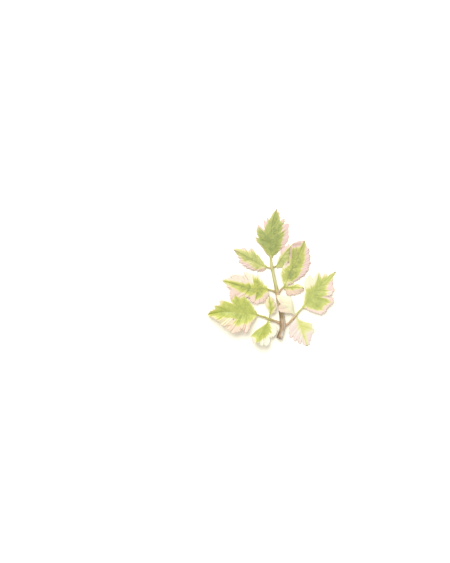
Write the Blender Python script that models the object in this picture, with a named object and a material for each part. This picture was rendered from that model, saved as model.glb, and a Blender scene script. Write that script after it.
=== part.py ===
"""A cut sprig of variegated leaf parsley, lying on a table.

The sprig is one compound leaf: a main stem, six side stalks and twelve leaflets.
Blender units are metres and +Z is up. The origin lies on the table, in the middle of
the sprig's outline. The stem runs along +Y, from the cut end to the terminal leaflet.
Places in plan are (x, y) in millimetres, measured from that origin.
"""

from dataclasses import dataclass, field

import bmesh
import bpy
import numpy as np

MM = 0.001

# Driving dimensions, in millimetres
BLADE_THICKNESS = 0.4
BLADE_NECK = 0.9
STEM_SIDES = 12
STALK_SIDES = 8
STEPS_PER_SPAN = 2

# The side veins of a blade are numbered from 0 at its base to 1 at its tip. They lean
# away from the midrib by these angles in degrees, and a power sets how they are spread.
BASE_LEAN = 150.0
TIP_LEAN = 18.0
VEIN_SPREAD = 1.5
VEIN_SAMPLES = 400
# The least step between two veins that end at points of the edge
LEAST_ROW = 0.01
# Shares of the way from the midrib to the edge that have a line of vertices
ACROSS = (0.0, 0.55, 1.0)
MERGE_DISTANCE = 0.01

LEAF_ROUGHNESS = 0.55
STEM_ROUGHNESS = 0.6
# Edges of a stem that turn more than this, in degrees, stay sharp
SHARP_ANGLE = 50.0

GREEN = (0.42, 0.50, 0.16)
CREAM = (0.93, 0.88, 0.62)
BARK = (0.42, 0.30, 0.20)
OLIVE = (0.52, 0.49, 0.26)


@dataclass
class Leaflet:
    """One leaflet, drawn from its base to its tip, with the heights of its underside."""

    name: str
    midrib: list
    left: list
    right: list
    base_height: float
    arch: float
    tip_height: float
    left_lift: float = 0.0
    right_lift: float = 0.0
    colour: tuple = field(default=GREEN)


@dataclass
class Stalk:
    """A round stem: its path in plan, and its heights and radii along the path."""

    name: str
    path: list
    heights: list
    radii: list
    colour: tuple = field(default=OLIVE)


MAIN_STEM_PATH = [
    (4.4, -35.3),
    (5.5, -32.2),
    (6.2, -29.3),
    (6.3, -26.4),
    (6.0, -23.5),
    (5.6, -20.1),
    (4.8, -16.6),
    (3.9, -13.1),
    (3.3, -9.6),
    (2.6, -5.6),
    (1.7, -1.5),
    (0.9, 2.6),
    (0.2, 5.7),
    (-0.3, 8.9),
    (-0.5, 11.5),
]
MAIN_STEM_RADII = [
    1.7, 1.66, 1.66, 1.62, 1.55, 1.45, 1.34, 1.24, 1.18, 1.08, 1.0, 0.93, 0.88, 0.78, 0.7,
]

STALKS = [
    Stalk(
        "lower_left_stalk",
        path=[
            (4.1, -26.2), (2.0, -25.3), (-1.6, -24.2), (-3.8, -23.1), (-6.7, -22.3), (-8.1, -21.8),
        ],
        heights=[1.4, 1.4, 1.4, 1.45, 1.55, 1.6],
        radii=[0.68, 0.64, 0.66, 0.6, 0.56, 0.5],
    ),
    Stalk(
        "lower_right_stalk",
        path=[
            (8.6, -27.6), (9.6, -26.7), (11.6, -24.5), (13.1, -23.0), (13.9, -22.0), (15.4, -20.1),
            (17.5, -17.8),
        ],
        heights=[1.4, 1.4, 1.4, 1.4, 1.4, 1.4, 1.4],
        radii=[0.64, 0.62, 0.6, 0.62, 0.62, 0.54, 0.48],
    ),
    Stalk(
        "middle_left_stalk",
        path=[(1.2, -8.1), (0.3, -7.6), (-1.2, -7.2), (-2.2, -6.9)],
        heights=[1.1, 1.1, 1.15, 1.2],
        radii=[0.55, 0.5, 0.48, 0.45],
    ),
    Stalk(
        "middle_right_stalk",
        path=[(4.9, -7.9), (5.4, -7.0), (6.1, -6.2), (6.9, -5.5)],
        heights=[1.1, 1.15, 1.25, 1.35],
        radii=[0.52, 0.5, 0.5, 0.48],
    ),
    Stalk(
        "upper_left_stalk",
        path=[(-1.1, 5.4), (-1.8, 5.6), (-2.5, 5.8)],
        heights=[0.8, 0.8, 0.8],
        radii=[0.42, 0.4, 0.38],
    ),
    Stalk(
        "upper_right_stalk",
        path=[(1.5, 6.0), (1.9, 6.2), (2.3, 6.4)],
        heights=[0.8, 0.8, 0.8],
        radii=[0.42, 0.4, 0.38],
    ),
]

LEAFLETS = [
    Leaflet(
        "terminal_leaflet",
        midrib=[(-0.5, 12.3), (-0.5, 15.9), (-0.6, 20.0), (0.0, 28.7), (1.7, 36.2), (3.0, 39.8)],
        left=[
            (-1.7, 12.6), (-3.5, 14.2), (-4.9, 16.5), (-6.7, 18.8), (-8.7, 20.8), (-9.5, 23.4),
            (-7.4, 22.7), (-8.6, 25.2), (-8.7, 28.1), (-7.7, 30.8), (-4.2, 26.9), (-4.8, 33.6),
            (-2.9, 32.1), (-2.8, 35.0), (-1.5, 33.6), (-0.7, 34.7), (0.6, 37.1),
        ],
        right=[
            (1.5, 12.6), (3.2, 14.2), (5.2, 16.5), (7.1, 17.6), (8.4, 19.4), (9.6, 21.7),
            (10.0, 23.4), (9.7, 26.3), (9.9, 28.7), (10.0, 31.3), (7.5, 31.0), (7.4, 34.5),
            (4.8, 32.7), (5.0, 35.3), (4.6, 37.4),
        ],
        base_height=0.5,
        arch=0.5,
        tip_height=0.0,
        left_lift=-0.9,
        right_lift=-0.9,
    ),
    Leaflet(
        "upper_left_leaflet",
        midrib=[(-3.3, 6.1), (-6.7, 7.5), (-13.6, 11.3), (-17.7, 13.6), (-22.3, 16.3)],
        left=[
            (-3.5, 4.8), (-4.9, 3.8), (-6.7, 3.3), (-9.0, 3.4), (-11.3, 3.9), (-13.3, 4.9),
            (-15.7, 6.1), (-17.7, 7.6), (-19.1, 9.0), (-18.4, 10.7), (-19.3, 11.8),
            (-20.0, 13.2), (-21.2, 14.7),
        ],
        right=[
            (-4.4, 8.4), (-5.5, 9.8), (-6.7, 11.4), (-7.8, 13.1), (-9.0, 13.4), (-9.7, 15.0),
            (-10.7, 16.2), (-12.0, 17.1), (-13.5, 14.7), (-15.8, 17.5), (-17.7, 16.6),
            (-20.0, 16.6),
        ],
        base_height=0.6,
        arch=0.5,
        tip_height=0.0,
        left_lift=-1.0,
        right_lift=-0.8,
    ),
    Leaflet(
        "upper_right_leaflet",
        midrib=[(3.0, 6.8), (6.7, 12.4), (10.2, 16.5), (12.8, 20.0)],
        left=[
            (3.2, 8.1), (3.8, 10.1), (4.5, 12.1), (4.9, 13.6), (5.1, 15.3), (5.8, 16.9),
            (8.4, 18.2), (9.9, 19.3), (11.0, 18.8),
        ],
        right=[
            (4.4, 5.6), (6.1, 5.7), (8.4, 6.3), (10.7, 7.8), (12.5, 10.4), (11.9, 11.8),
            (14.2, 14.2), (13.3, 15.6), (14.5, 17.6),
        ],
        base_height=0.6,
        arch=-0.1,
        tip_height=0.1,
        left_lift=0.8,
        right_lift=-0.2,
    ),
    Leaflet(
        "middle_right_leaflet",
        midrib=[(7.6, -4.7), (10.7, 3.1), (14.2, 8.9), (17.1, 15.9), (19.1, 21.5)],
        left=[
            (6.8, -3.5), (5.8, -0.9), (5.1, 1.4), (5.8, 4.3), (6.4, 5.7), (7.0, 7.2),
            (8.4, 8.9), (9.7, 8.9), (10.2, 11.8), (10.7, 14.2), (10.8, 17.1), (11.6, 18.8),
            (12.5, 19.7), (13.6, 20.5), (15.4, 21.0), (17.1, 21.2),
        ],
        right=[
            (10.2, -4.4), (12.5, -3.0), (14.8, -1.5), (17.1, -0.1), (19.1, 1.4), (20.6, 3.4),
            (21.2, 4.3), (22.2, 8.1), (22.2, 12.8), (21.5, 16.5), (19.7, 19.4),
        ],
        base_height=1.2,
        arch=0.9,
        tip_height=1.2,
        left_lift=0.3,
        right_lift=-1.7,
    ),
    Leaflet(
        "middle_right_small_leaflet",
        midrib=[(8.0, -6.1), (10.7, -6.1), (14.8, -5.8), (18.9, -6.1)],
        left=[(9.6, -5.4), (11.9, -4.4), (15.3, -3.6), (16.5, -4.4), (17.7, -4.9)],
        right=[
            (7.3, -7.0), (8.1, -7.9), (8.2, -9.3), (9.3, -10.4), (11.9, -10.2), (14.5, -10.0),
            (16.0, -9.3), (17.7, -8.5), (18.6, -7.6),
        ],
        base_height=1.1,
        arch=0.5,
        tip_height=1.9,
        left_lift=-0.2,
        right_lift=-1.2,
    ),
    Leaflet(
        "middle_left_leaflet",
        midrib=[
            (-3.4, -6.5), (-7.8, -6.6), (-12.5, -6.4), (-18.3, -5.0), (-24.1, -3.2), (-28.8, -1.8),
        ],
        left=[
            (-1.5, -9.2), (-1.7, -10.2), (-2.7, -12.2), (-4.8, -14.6), (-7.3, -14.8),
            (-10.2, -15.3), (-12.8, -12.2), (-14.2, -11.4), (-16.5, -12.2), (-19.4, -13.4),
            (-21.2, -12.2), (-23.8, -12.8), (-24.5, -10.8), (-24.2, -8.2), (-24.4, -6.4),
            (-25.5, -6.1), (-26.1, -4.7), (-27.3, -3.2),
        ],
        right=[
            (-4.4, -4.1), (-5.5, -2.4), (-6.7, -0.6), (-7.5, 1.1), (-8.5, 2.6), (-9.4, 0.8),
            (-10.4, 1.4), (-12.5, 2.7), (-14.2, 3.0), (-16.1, 2.7), (-17.4, 0.8),
            (-19.4, 1.8), (-21.2, 1.8), (-22.6, 1.1), (-24.1, 0.6), (-25.8, -0.6),
            (-27.6, -0.9),
        ],
        base_height=1.0,
        arch=0.3,
        tip_height=0.0,
        left_lift=0.3,
        right_lift=-0.5,
    ),
    Leaflet(
        "lower_left_end_leaflet",
        midrib=[
            (-8.9, -21.4), (-13.6, -20.5), (-18.3, -20.0), (-24.1, -19.8), (-29.9, -20.2),
            (-37.2, -21.4),
        ],
        left=[
            (-10.2, -24.4), (-11.3, -25.9), (-12.5, -27.6), (-13.3, -29.9), (-14.2, -31.4),
            (-16.0, -31.7), (-17.4, -29.6), (-19.4, -31.5), (-21.8, -31.7), (-23.5, -31.1),
            (-25.3, -30.5), (-27.0, -28.5), (-29.0, -27.6), (-30.5, -25.6), (-31.9, -24.9),
            (-32.8, -23.8), (-34.8, -23.4), (-36.3, -22.7),
        ],
        right=[
            (-9.6, -18.6), (-11.3, -16.0), (-13.1, -13.4), (-14.8, -11.4), (-16.4, -10.2),
            (-18.9, -11.7), (-21.3, -9.9), (-23.2, -13.1), (-23.0, -15.0), (-26.4, -13.7),
            (-28.7, -13.2), (-30.7, -13.8), (-29.6, -16.3), (-33.2, -16.1), (-32.5, -17.9),
            (-33.9, -18.6), (-35.7, -19.7),
        ],
        base_height=1.4,
        arch=1.5,
        tip_height=0.0,
        left_lift=3.2,
        right_lift=0.8,
    ),
    Leaflet(
        "lower_left_upper_leaflet",
        midrib=[(-1.1, -22.7), (-0.9, -21.5), (-0.4, -18.3), (-1.0, -15.4), (-1.3, -10.6)],
        left=[
            (-1.4, -21.4), (-1.7, -19.2), (-2.6, -17.5), (-4.1, -16.6), (-4.4, -15.1),
            (-3.5, -13.4), (-2.4, -11.7),
        ],
        right=[
            (-0.5, -21.4), (0.8, -20.9), (2.3, -19.8), (2.8, -18.3), (2.9, -16.0),
            (1.5, -14.3), (1.3, -12.5), (0.3, -11.4),
        ],
        base_height=1.2,
        arch=0.8,
        tip_height=2.6,
    ),
    Leaflet(
        "lower_left_base_leaflet",
        midrib=[(-1.9, -25.9), (-3.8, -28.8), (-6.7, -32.8), (-9.2, -37.8)],
        left=[
            (-0.3, -26.5), (2.0, -27.0), (3.2, -27.9), (3.3, -30.5), (2.8, -32.8), (0.6, -34.3),
            (-1.2, -35.1), (-1.5, -38.0), (-2.7, -39.4), (-4.4, -38.3), (-6.1, -39.5),
            (-7.5, -37.8),
        ],
        right=[
            (-3.1, -26.4), (-5.5, -28.2), (-7.8, -29.6), (-9.9, -31.1), (-12.2, -34.0),
            (-11.4, -36.3), (-10.7, -38.5), (-10.0, -37.5),
        ],
        base_height=0.8,
        arch=-0.2,
        tip_height=6.0,
        left_lift=2.4,
        right_lift=0.3,
        colour=CREAM,
    ),
    Leaflet(
        "lower_right_end_leaflet",
        midrib=[(18.3, -16.9), (22.3, -11.4), (28.1, -5.0), (32.8, -0.6), (37.3, 3.5)],
        left=[
            (18.6, -14.8), (19.1, -11.9), (19.3, -9.0), (19.7, -7.3), (19.1, -4.4),
            (19.0, -2.7), (19.7, -0.9), (22.1, 1.7), (23.3, 0.5), (23.7, -2.1), (25.5, 1.7),
            (27.7, 3.5), (28.6, -0.1), (31.1, 2.8), (32.5, 0.6), (33.9, 2.0), (35.7, 3.1),
        ],
        right=[
            (19.4, -18.0), (21.2, -18.8), (23.5, -19.8), (25.8, -20.5), (28.1, -21.2),
            (29.9, -20.9), (31.3, -19.8), (32.7, -17.1), (35.1, -15.0), (35.7, -13.1),
            (36.0, -11.8), (29.9, -11.4), (33.6, -10.5), (35.1, -9.3), (36.3, -7.3),
            (36.1, -5.6), (34.8, -4.1), (35.7, -3.2), (35.1, -1.8), (35.7, 0.2), (36.8, 2.0),
        ],
        base_height=1.2,
        arch=0.9,
        tip_height=0.0,
        left_lift=-0.6,
        right_lift=-0.5,
    ),
    Leaflet(
        "lower_right_base_leaflet",
        midrib=[(14.8, -23.5), (16.0, -26.4), (18.0, -32.2), (20.6, -39.8)],
        left=[
            (15.4, -24.4), (17.1, -25.0), (18.9, -26.0), (21.2, -26.3), (23.8, -26.8),
            (23.5, -28.2), (24.7, -29.6), (25.1, -31.1), (23.5, -33.7), (22.6, -36.9),
            (21.8, -38.6),
        ],
        right=[
            (14.2, -24.4), (13.1, -25.2), (11.9, -26.5), (10.7, -28.2), (10.2, -29.9),
            (10.3, -32.2), (10.9, -34.7), (12.2, -34.6), (12.8, -36.0), (14.2, -36.3),
            (16.0, -36.9), (17.4, -37.8), (19.1, -38.6),
        ],
        base_height=0.9,
        arch=0.9,
        tip_height=0.0,
        left_lift=-1.2,
        right_lift=-1.3,
        colour=CREAM,
    ),
    Leaflet(
        "lower_right_inner_leaflet",
        midrib=[(12.7, -20.8), (10.2, -16.6), (6.1, -12.8), (2.6, -10.0)],
        left=[
            (11.3, -20.6), (9.0, -20.6), (7.3, -20.4), (4.9, -20.1), (3.4, -18.3),
            (3.8, -16.9), (5.8, -15.3), (4.8, -14.3), (4.1, -12.5), (3.2, -11.1),
        ],
        right=[
            (12.7, -19.6), (12.5, -17.7), (12.2, -14.8), (11.3, -11.9), (10.7, -11.1),
            (9.0, -10.8), (7.3, -10.6), (4.9, -10.3),
        ],
        base_height=1.2,
        arch=1.7,
        tip_height=3.2,
        left_lift=0.6,
        right_lift=-1.6,
        colour=CREAM,
    ),
]


def share_along(points):
    """Each point's share of the length of a line of straight runs, from 0 to 1."""
    steps = np.linalg.norm(np.diff(points, axis=0), axis=1)
    run = np.concatenate(([0.0], np.cumsum(steps)))
    return run / run[-1]


def places_at(wanted, known, points):
    """Places at the wanted values on a line whose points have the known values."""
    columns = [np.interp(wanted, known, column) for column in points.T]
    return np.column_stack(columns)


def smooth_path(points, steps):
    """A rounder line through the points, as a Catmull-Rom curve with some steps a span."""
    ends = np.vstack([2 * points[0] - points[1], points, 2 * points[-1] - points[-2]])
    before, start, end, after = ends[:-3], ends[1:-2], ends[2:-1], ends[3:]
    spans = []
    for t in np.arange(steps) / steps:
        spans.append(
            start
            + 0.5 * t * (end - before)
            + t**2 * (before - 2.5 * start + 2 * end - 0.5 * after)
            + t**3 * (1.5 * (start - end) + 0.5 * (after - before))
        )
    line = np.stack(spans, axis=1).reshape(-1, points.shape[1])
    return np.vstack([line, points[-1]])


def vein_starts(veins, midrib):
    """Where each vein leaves the midrib, and its share of the midrib's length.

    veins runs from 0 at the base to 1 at the tip. The first veins leave close together,
    so that they fan out round the base.
    """
    along = veins**VEIN_SPREAD
    return places_at(along, share_along(midrib), midrib), along


def vein_directions(veins, midrib, side):
    """The way each vein runs. It turns from backwards at the base to forwards at the tip.

    Later veins start further on and lean further forward, so that no two ever cross.
    side is 1 for the left half of the blade and -1 for the right half.
    """
    forward = midrib[-1] - midrib[0]
    heading = np.arctan2(forward[1], forward[0])
    lean = TIP_LEAN + (BASE_LEAN - TIP_LEAN) * (1 - veins) ** 2
    angle = heading + side * np.radians(lean)
    return np.column_stack([np.cos(angle), np.sin(angle)])


def vein_through(point, midrib, side):
    """The vein that passes through a point of the edge, as a number from 0 to 1."""
    veins = np.linspace(0.0, 1.0, VEIN_SAMPLES)
    offset = point - vein_starts(veins, midrib)[0]
    ways = vein_directions(veins, midrib, side)
    ahead = side * (offset[:, 0] * ways[:, 1] - offset[:, 1] * ways[:, 0])
    crossing = np.argmax(ahead <= 0.0)
    share = ahead[crossing - 1] / (ahead[crossing - 1] - ahead[crossing])
    return veins[crossing - 1] + share * (veins[1] - veins[0])


def edge_veins(leaflet, side):
    """The veins that end at the edge's points, and how far each of them reaches."""
    midrib = np.array(leaflet.midrib)
    points = np.array(leaflet.left if side > 0 else leaflet.right)
    veins = np.array([vein_through(point, midrib, side) for point in points])
    for i in range(1, len(veins)):
        veins[i] = max(veins[i], veins[i - 1] + LEAST_ROW)
    reach = np.linalg.norm(points - vein_starts(veins, midrib)[0], axis=1)
    veins = np.concatenate(([0.0], veins, [1.0]))
    reach = np.concatenate(([BLADE_NECK / 2], reach, [0.0]))
    return veins, reach


def underside_height(leaflet, along, across, side_lift):
    """Height of the underside: an arch along the midrib, and a lift towards the edge."""
    midrib = (
        leaflet.base_height * (1 - along)
        + leaflet.tip_height * along
        + leaflet.arch * 4 * along * (1 - along)
    )
    lift = side_lift * across**2 * (1 - (2 * along - 1) ** 4)
    return np.maximum(midrib + lift, 0.0)


def blade_grid(leaflet):
    """Vertices of the blade's underside, as rows along the midrib by columns across."""
    midrib = np.array(leaflet.midrib)
    left_veins, left_reach = edge_veins(leaflet, 1)
    right_veins, right_reach = edge_veins(leaflet, -1)
    rows = np.union1d(left_veins, right_veins)
    rows = rows[np.concatenate(([True], np.diff(rows) > LEAST_ROW / 2))]
    rows[-1] = 1.0
    starts, along = vein_starts(rows, midrib)
    columns = []
    for side, veins, reach, lift, shares in (
        (1, left_veins, left_reach, leaflet.left_lift, ACROSS[:0:-1]),
        (-1, right_veins, right_reach, leaflet.right_lift, ACROSS),
    ):
        ways = vein_directions(rows, midrib, side)
        lengths = np.interp(rows, veins, reach)
        for share in shares:
            plan = starts + share * lengths[:, None] * ways
            height = underside_height(leaflet, along, share, lift)
            columns.append(np.column_stack([plan, height]))
    return np.stack(columns, axis=1)


def plain_material(name, colour, roughness):
    """A matt plant surface of one colour."""
    material = bpy.data.materials.new(name)
    material.use_nodes = True
    shader = material.node_tree.nodes["Principled BSDF"]
    shader.inputs["Base Color"].default_value = (*colour, 1.0)
    shader.inputs["Roughness"].default_value = roughness
    shader.inputs["Metallic"].default_value = 0.0
    return material


def add_object(name, mesh, colour, roughness):
    """Puts a mesh into the scene under its plain name, with a material of its own."""
    mesh.materials.append(plain_material(name, colour, roughness))
    made = bpy.data.objects.new(name, mesh)
    bpy.context.scene.collection.objects.link(made)
    return made


def add_leaflet(leaflet):
    """A leaflet: its underside as a grid, given its thickness by a Solidify modifier."""
    grid = blade_grid(leaflet)
    rows, columns = grid.shape[:2]
    shape = bmesh.new()
    corners = [[shape.verts.new(place * MM) for place in row] for row in grid]
    for i in range(rows - 1):
        for j in range(columns - 1):
            shape.faces.new(
                (corners[i][j], corners[i][j + 1], corners[i + 1][j + 1], corners[i + 1][j])
            )
    bmesh.ops.remove_doubles(shape, verts=shape.verts, dist=MERGE_DISTANCE * MM)
    bmesh.ops.triangulate(shape, faces=shape.faces)
    mesh = bpy.data.meshes.new(leaflet.name)
    shape.to_mesh(mesh)
    shape.free()
    made = add_object(leaflet.name, mesh, leaflet.colour, LEAF_ROUGHNESS)
    skin = made.modifiers.new("blade thickness", "SOLIDIFY")
    skin.thickness = BLADE_THICKNESS * MM
    skin.offset = 1.0
    return made


def add_stem(name, path, heights, radii, sides, colour):
    """A round stem: upright rings of flat sides along a smooth path, with closed ends."""
    points = np.column_stack([np.array(path), heights, radii])
    line = smooth_path(points, STEPS_PER_SPAN)
    centres, ring_radii = line[:, :3], line[:, 3]
    ahead = np.gradient(line[:, :2], axis=0)
    ahead /= np.linalg.norm(ahead, axis=1, keepdims=True)
    sideways = np.column_stack([ahead[:, 1], -ahead[:, 0], np.zeros(len(ahead))])
    angles = 2 * np.pi * (np.arange(sides) + 0.5) / sides - np.pi / 2
    upright = np.array([0.0, 0.0, 1.0])
    shape = bmesh.new()
    rings = []
    for centre, radius, aside in zip(centres, ring_radii, sideways):
        ring = [
            shape.verts.new((centre + radius * (np.cos(a) * aside + np.sin(a) * upright)) * MM)
            for a in angles
        ]
        rings.append(ring)
    for near, far in zip(rings, rings[1:]):
        for k in range(sides):
            following = (k + 1) % sides
            shape.faces.new((near[k], far[k], far[following], near[following]))
    shape.faces.new(rings[0])
    shape.faces.new(rings[-1][::-1])
    bmesh.ops.recalc_face_normals(shape, faces=shape.faces)
    mesh = bpy.data.meshes.new(name)
    shape.to_mesh(mesh)
    shape.free()
    mesh.shade_smooth()
    mesh.set_sharp_from_angle(angle=np.radians(SHARP_ANGLE))
    return add_object(name, mesh, colour, STEM_ROUGHNESS)


def clear_scene():
    """Takes the objects of the opened file out of the scene."""
    for old in list(bpy.data.objects):
        bpy.data.objects.remove(old, do_unlink=True)


def build_sprig():
    """Builds every stem and leaflet of the sprig."""
    clear_scene()
    # The main stem lies on the table, on the lowest of its flat sides.
    resting = np.cos(np.pi / STEM_SIDES)
    heights = [radius * resting for radius in MAIN_STEM_RADII]
    add_stem("main_stem", MAIN_STEM_PATH, heights, MAIN_STEM_RADII, STEM_SIDES, BARK)
    for stalk in STALKS:
        add_stem(stalk.name, stalk.path, stalk.heights, stalk.radii, STALK_SIDES, stalk.colour)
    for leaflet in LEAFLETS:
        add_leaflet(leaflet)


build_sprig()
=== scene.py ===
# %% [markdown]
# A cut parsley sprig on a white table
#
# The sprig is one compound leaf, cut and laid flat. It has a round main stem, six side
# stalks and twelve toothed leaflets, green in the middle with cream and pink margins.
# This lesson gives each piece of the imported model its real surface. A leaflet is a thin
# closed skin worked out from its veins, and a stem is a ribbed profile on a smooth path.
# Sizes are in millimetres until a mesh is made, where MM turns them into metres.

import bpy
import numpy as np
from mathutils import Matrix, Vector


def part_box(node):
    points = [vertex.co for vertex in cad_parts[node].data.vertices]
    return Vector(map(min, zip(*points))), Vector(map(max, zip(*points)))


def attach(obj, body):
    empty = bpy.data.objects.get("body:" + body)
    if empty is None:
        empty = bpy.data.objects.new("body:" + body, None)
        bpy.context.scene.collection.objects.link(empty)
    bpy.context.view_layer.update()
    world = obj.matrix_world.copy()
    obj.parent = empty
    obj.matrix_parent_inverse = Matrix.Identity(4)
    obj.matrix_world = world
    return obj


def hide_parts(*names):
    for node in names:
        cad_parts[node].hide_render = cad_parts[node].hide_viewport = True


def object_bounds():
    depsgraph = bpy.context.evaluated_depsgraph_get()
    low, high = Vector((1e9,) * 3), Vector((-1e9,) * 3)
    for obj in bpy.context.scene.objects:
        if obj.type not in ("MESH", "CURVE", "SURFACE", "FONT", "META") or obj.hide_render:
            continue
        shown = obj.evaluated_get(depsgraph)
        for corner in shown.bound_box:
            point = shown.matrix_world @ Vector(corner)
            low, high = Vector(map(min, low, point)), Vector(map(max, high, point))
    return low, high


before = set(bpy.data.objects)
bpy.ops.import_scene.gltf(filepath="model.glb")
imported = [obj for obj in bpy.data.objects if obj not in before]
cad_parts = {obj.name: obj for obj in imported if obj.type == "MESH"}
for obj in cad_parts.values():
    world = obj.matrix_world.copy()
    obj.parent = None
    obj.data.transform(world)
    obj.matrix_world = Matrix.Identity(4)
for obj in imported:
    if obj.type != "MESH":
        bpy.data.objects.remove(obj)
cad_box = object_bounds()
MM = 0.001
print("CAD box in mm:", [[round(c / MM, 1) for c in corner] for corner in cad_box])

# %% [markdown]
# Shader maths reads best as plain arithmetic, so a small class wraps a number socket.
# Adding or multiplying two of these puts the matching Math node into the material. The
# reflected forms, such as 1 - mask, work in the same way.

# %% Numbers in a material
class Number:
    """A number socket. Arithmetic on it adds Math nodes to its material."""

    def __init__(self, sheet, socket):
        self.sheet = sheet
        self.socket = socket

    def maths(self, operation, first, second):
        """A Math node on two numbers, each of them wrapped or plain."""
        return self.sheet.node("ShaderNodeMath", {"operation": operation}, {0: first, 1: second})

    def __add__(self, other):
        return self.maths("ADD", self, other)

    def __sub__(self, other):
        return self.maths("SUBTRACT", self, other)

    def __mul__(self, other):
        return self.maths("MULTIPLY", self, other)

    def __radd__(self, other):
        return self.maths("ADD", other, self)

    def __rsub__(self, other):
        return self.maths("SUBTRACT", other, self)

    def __rmul__(self, other):
        return self.maths("MULTIPLY", other, self)


print("number sockets can be added, subtracted and multiplied")

# %% [markdown]
# A second class holds the material. One method of it makes every kind of node, and the
# short methods after it are the few steps that leaves and stems both use: a soft step, a
# mix of two colours, a cloud of noise, and a bump. A soft step turns a distance into a
# mask, and masks are what puts one colour of a leaf beside another.

# %% Nodes of a material
class Sheet:
    """A material and its nodes, with a Principled shader ready for its sockets."""

    def __init__(self, name):
        self.material = bpy.data.materials.new(name)
        self.material.use_nodes = True
        self.tree = self.material.node_tree
        self.shader = self.tree.nodes["Principled BSDF"]

    def feed(self, target, value):
        """Puts a number, a colour, a wrapped number or a plain socket into a socket."""
        if isinstance(value, Number):
            value = value.socket
        if isinstance(value, bpy.types.NodeSocket):
            self.tree.links.new(value, target)
        else:
            target.default_value = value

    def surface(self, name, value):
        """Feeds a socket of the shader by its name."""
        self.feed(self.shader.inputs[name], value)

    def node(self, kind, settings, inputs, output=0, wrap=True):
        """Adds any node: its settings first, then its inputs by name or place."""
        made = self.tree.nodes.new(kind)
        for key, value in settings.items():
            setattr(made, key, value)
        for key, value in inputs.items():
            self.feed(made.inputs[key], value)
        return Number(self, made.outputs[output]) if wrap else made.outputs[output]

    def attribute(self, name):
        """A number that is stored on the piece's points."""
        return self.node("ShaderNodeAttribute", {"attribute_name": name}, {}, "Fac")

    def step(self, value, low, high):
        """0 below low, 1 above high, and a smooth rise between them. Falls if low > high."""
        settings = {"interpolation_type": "SMOOTHSTEP"}
        if low < high:
            return self.node("ShaderNodeMapRange", settings, {0: value, 1: low, 2: high})
        return 1 - self.node("ShaderNodeMapRange", settings, {0: value, 1: high, 2: low})

    def mix(self, share, first, second):
        """A colour between two colours."""
        return self.node(
            "ShaderNodeMix", {"data_type": "RGBA"}, {0: share, 6: first, 7: second}, 2, wrap=False
        )

    def places(self, stretch=(1.0, 1.0, 1.0)):
        """Texture places from the Object coordinates, times a stretch."""
        place = self.node("ShaderNodeTexCoord", {}, {}, "Object", wrap=False)
        return self.node("ShaderNodeMapping", {}, {"Vector": place, "Scale": stretch}, wrap=False)

    def noise(self, places, scale, detail=2.0):
        """Soft random cloud, from about 0.2 to 0.8."""
        inputs = {"Vector": places, "Scale": scale, "Detail": detail}
        return self.node("ShaderNodeTexNoise", {}, inputs, "Fac")

    def bump(self, height, depth):
        """Feeds the shader's Normal from a height, with its depth in metres."""
        inputs = {"Strength": 1.0, "Distance": depth, "Height": height}
        self.surface("Normal", self.node("ShaderNodeBump", {}, inputs, "Normal", wrap=False))


print("a material can now be written in a few lines")

# %% [markdown]
# Colours are easiest to judge as they look in a picture, from 0 to 255. A pale surface
# in this bright studio shows lighter than its own colour, by the level of the light. So
# a helper undoes the curve of a screen and takes that level off again.

# %% Colours as they look in the light
LIGHT_LEVEL = 1.5


def paint(red, green, blue):
    """A surface colour that shows as these 0 to 255 values in the studio light.

    The standard sRGB curve is undone: a straight part near black, and a power above it.
    """
    shown = np.array([red, green, blue]) / 255
    linear = np.where(shown <= 0.04045, shown / 12.92, ((shown + 0.055) / 1.055) ** 2.4)
    return (*(linear / LIGHT_LEVEL), 1.0)


print("white in this light is a surface of", round(paint(255, 255, 255)[0], 2))

# %% [markdown]
# Every surface here is a closed sleeve: rows of points along it, each row a ring, and a
# single point at each end. Building the faces from row numbers keeps the seam closed
# without merging anything. A sum over the faces tells whether they point outwards, and
# they are turned round if they don't.

# %% A closed sleeve as a mesh
def sleeve_faces(rows, around):
    """Faces of a sleeve whose first and last points are its two ends.

    Ring i holds points 1 + i * around onwards. Quads join ring to ring, and triangles
    join the first and last rings to the end points.
    """
    k = np.arange(around)
    following = (k + 1) % around
    ring = 1 + np.arange(rows - 1)[:, None] * around
    far = ring + around
    quads = np.stack([ring + k, ring + following, far + following, far + k], -1)
    last = 1 + (rows - 1) * around
    start = np.column_stack([np.zeros(around, int), 1 + following, 1 + k])
    end = np.column_stack([np.full(around, last + around), last + k, last + following])
    return quads.reshape(-1, 4), start, end


def signed_volume(places, triangles):
    """Six times the volume inside the triangles, positive if they face outwards."""
    a, b, c = (places[triangles[:, i]] for i in range(3))
    return np.einsum("ij,ij->", a, np.cross(b, c))


def add_sleeve(name, start, rings, end, material):
    """A closed piece from rings of shape (rows, around, 3) in mm, and its two end points."""
    rows, around = rings.shape[:2]
    places = np.vstack([start, rings.reshape(-1, 3), end]) * MM
    quads, cap_start, cap_end = sleeve_faces(rows, around)
    triangles = np.vstack([quads[:, [0, 1, 2]], quads[:, [0, 2, 3]], cap_start, cap_end])
    if signed_volume(places - places.mean(axis=0), triangles) < 0:
        quads, cap_start, cap_end = quads[:, ::-1], cap_start[:, ::-1], cap_end[:, ::-1]
    mesh = bpy.data.meshes.new(name)
    mesh.from_pydata(places.tolist(), [], quads.tolist() + cap_start.tolist() + cap_end.tolist())
    mesh.shade_smooth()
    mesh.materials.append(material)
    made = bpy.data.objects.new(name, mesh)
    bpy.context.scene.collection.objects.link(made)
    print(name, "has", len(triangles), "triangles")
    return made


def keep_number(piece, name, start, rings, end):
    """Stores one number for each point of a sleeve, for its material to read."""
    values = np.concatenate([[start], np.ravel(rings), [end]]).astype(np.float32)
    piece.data.attributes.new(name, "FLOAT", "POINT").data.foreach_set("value", values)


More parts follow.
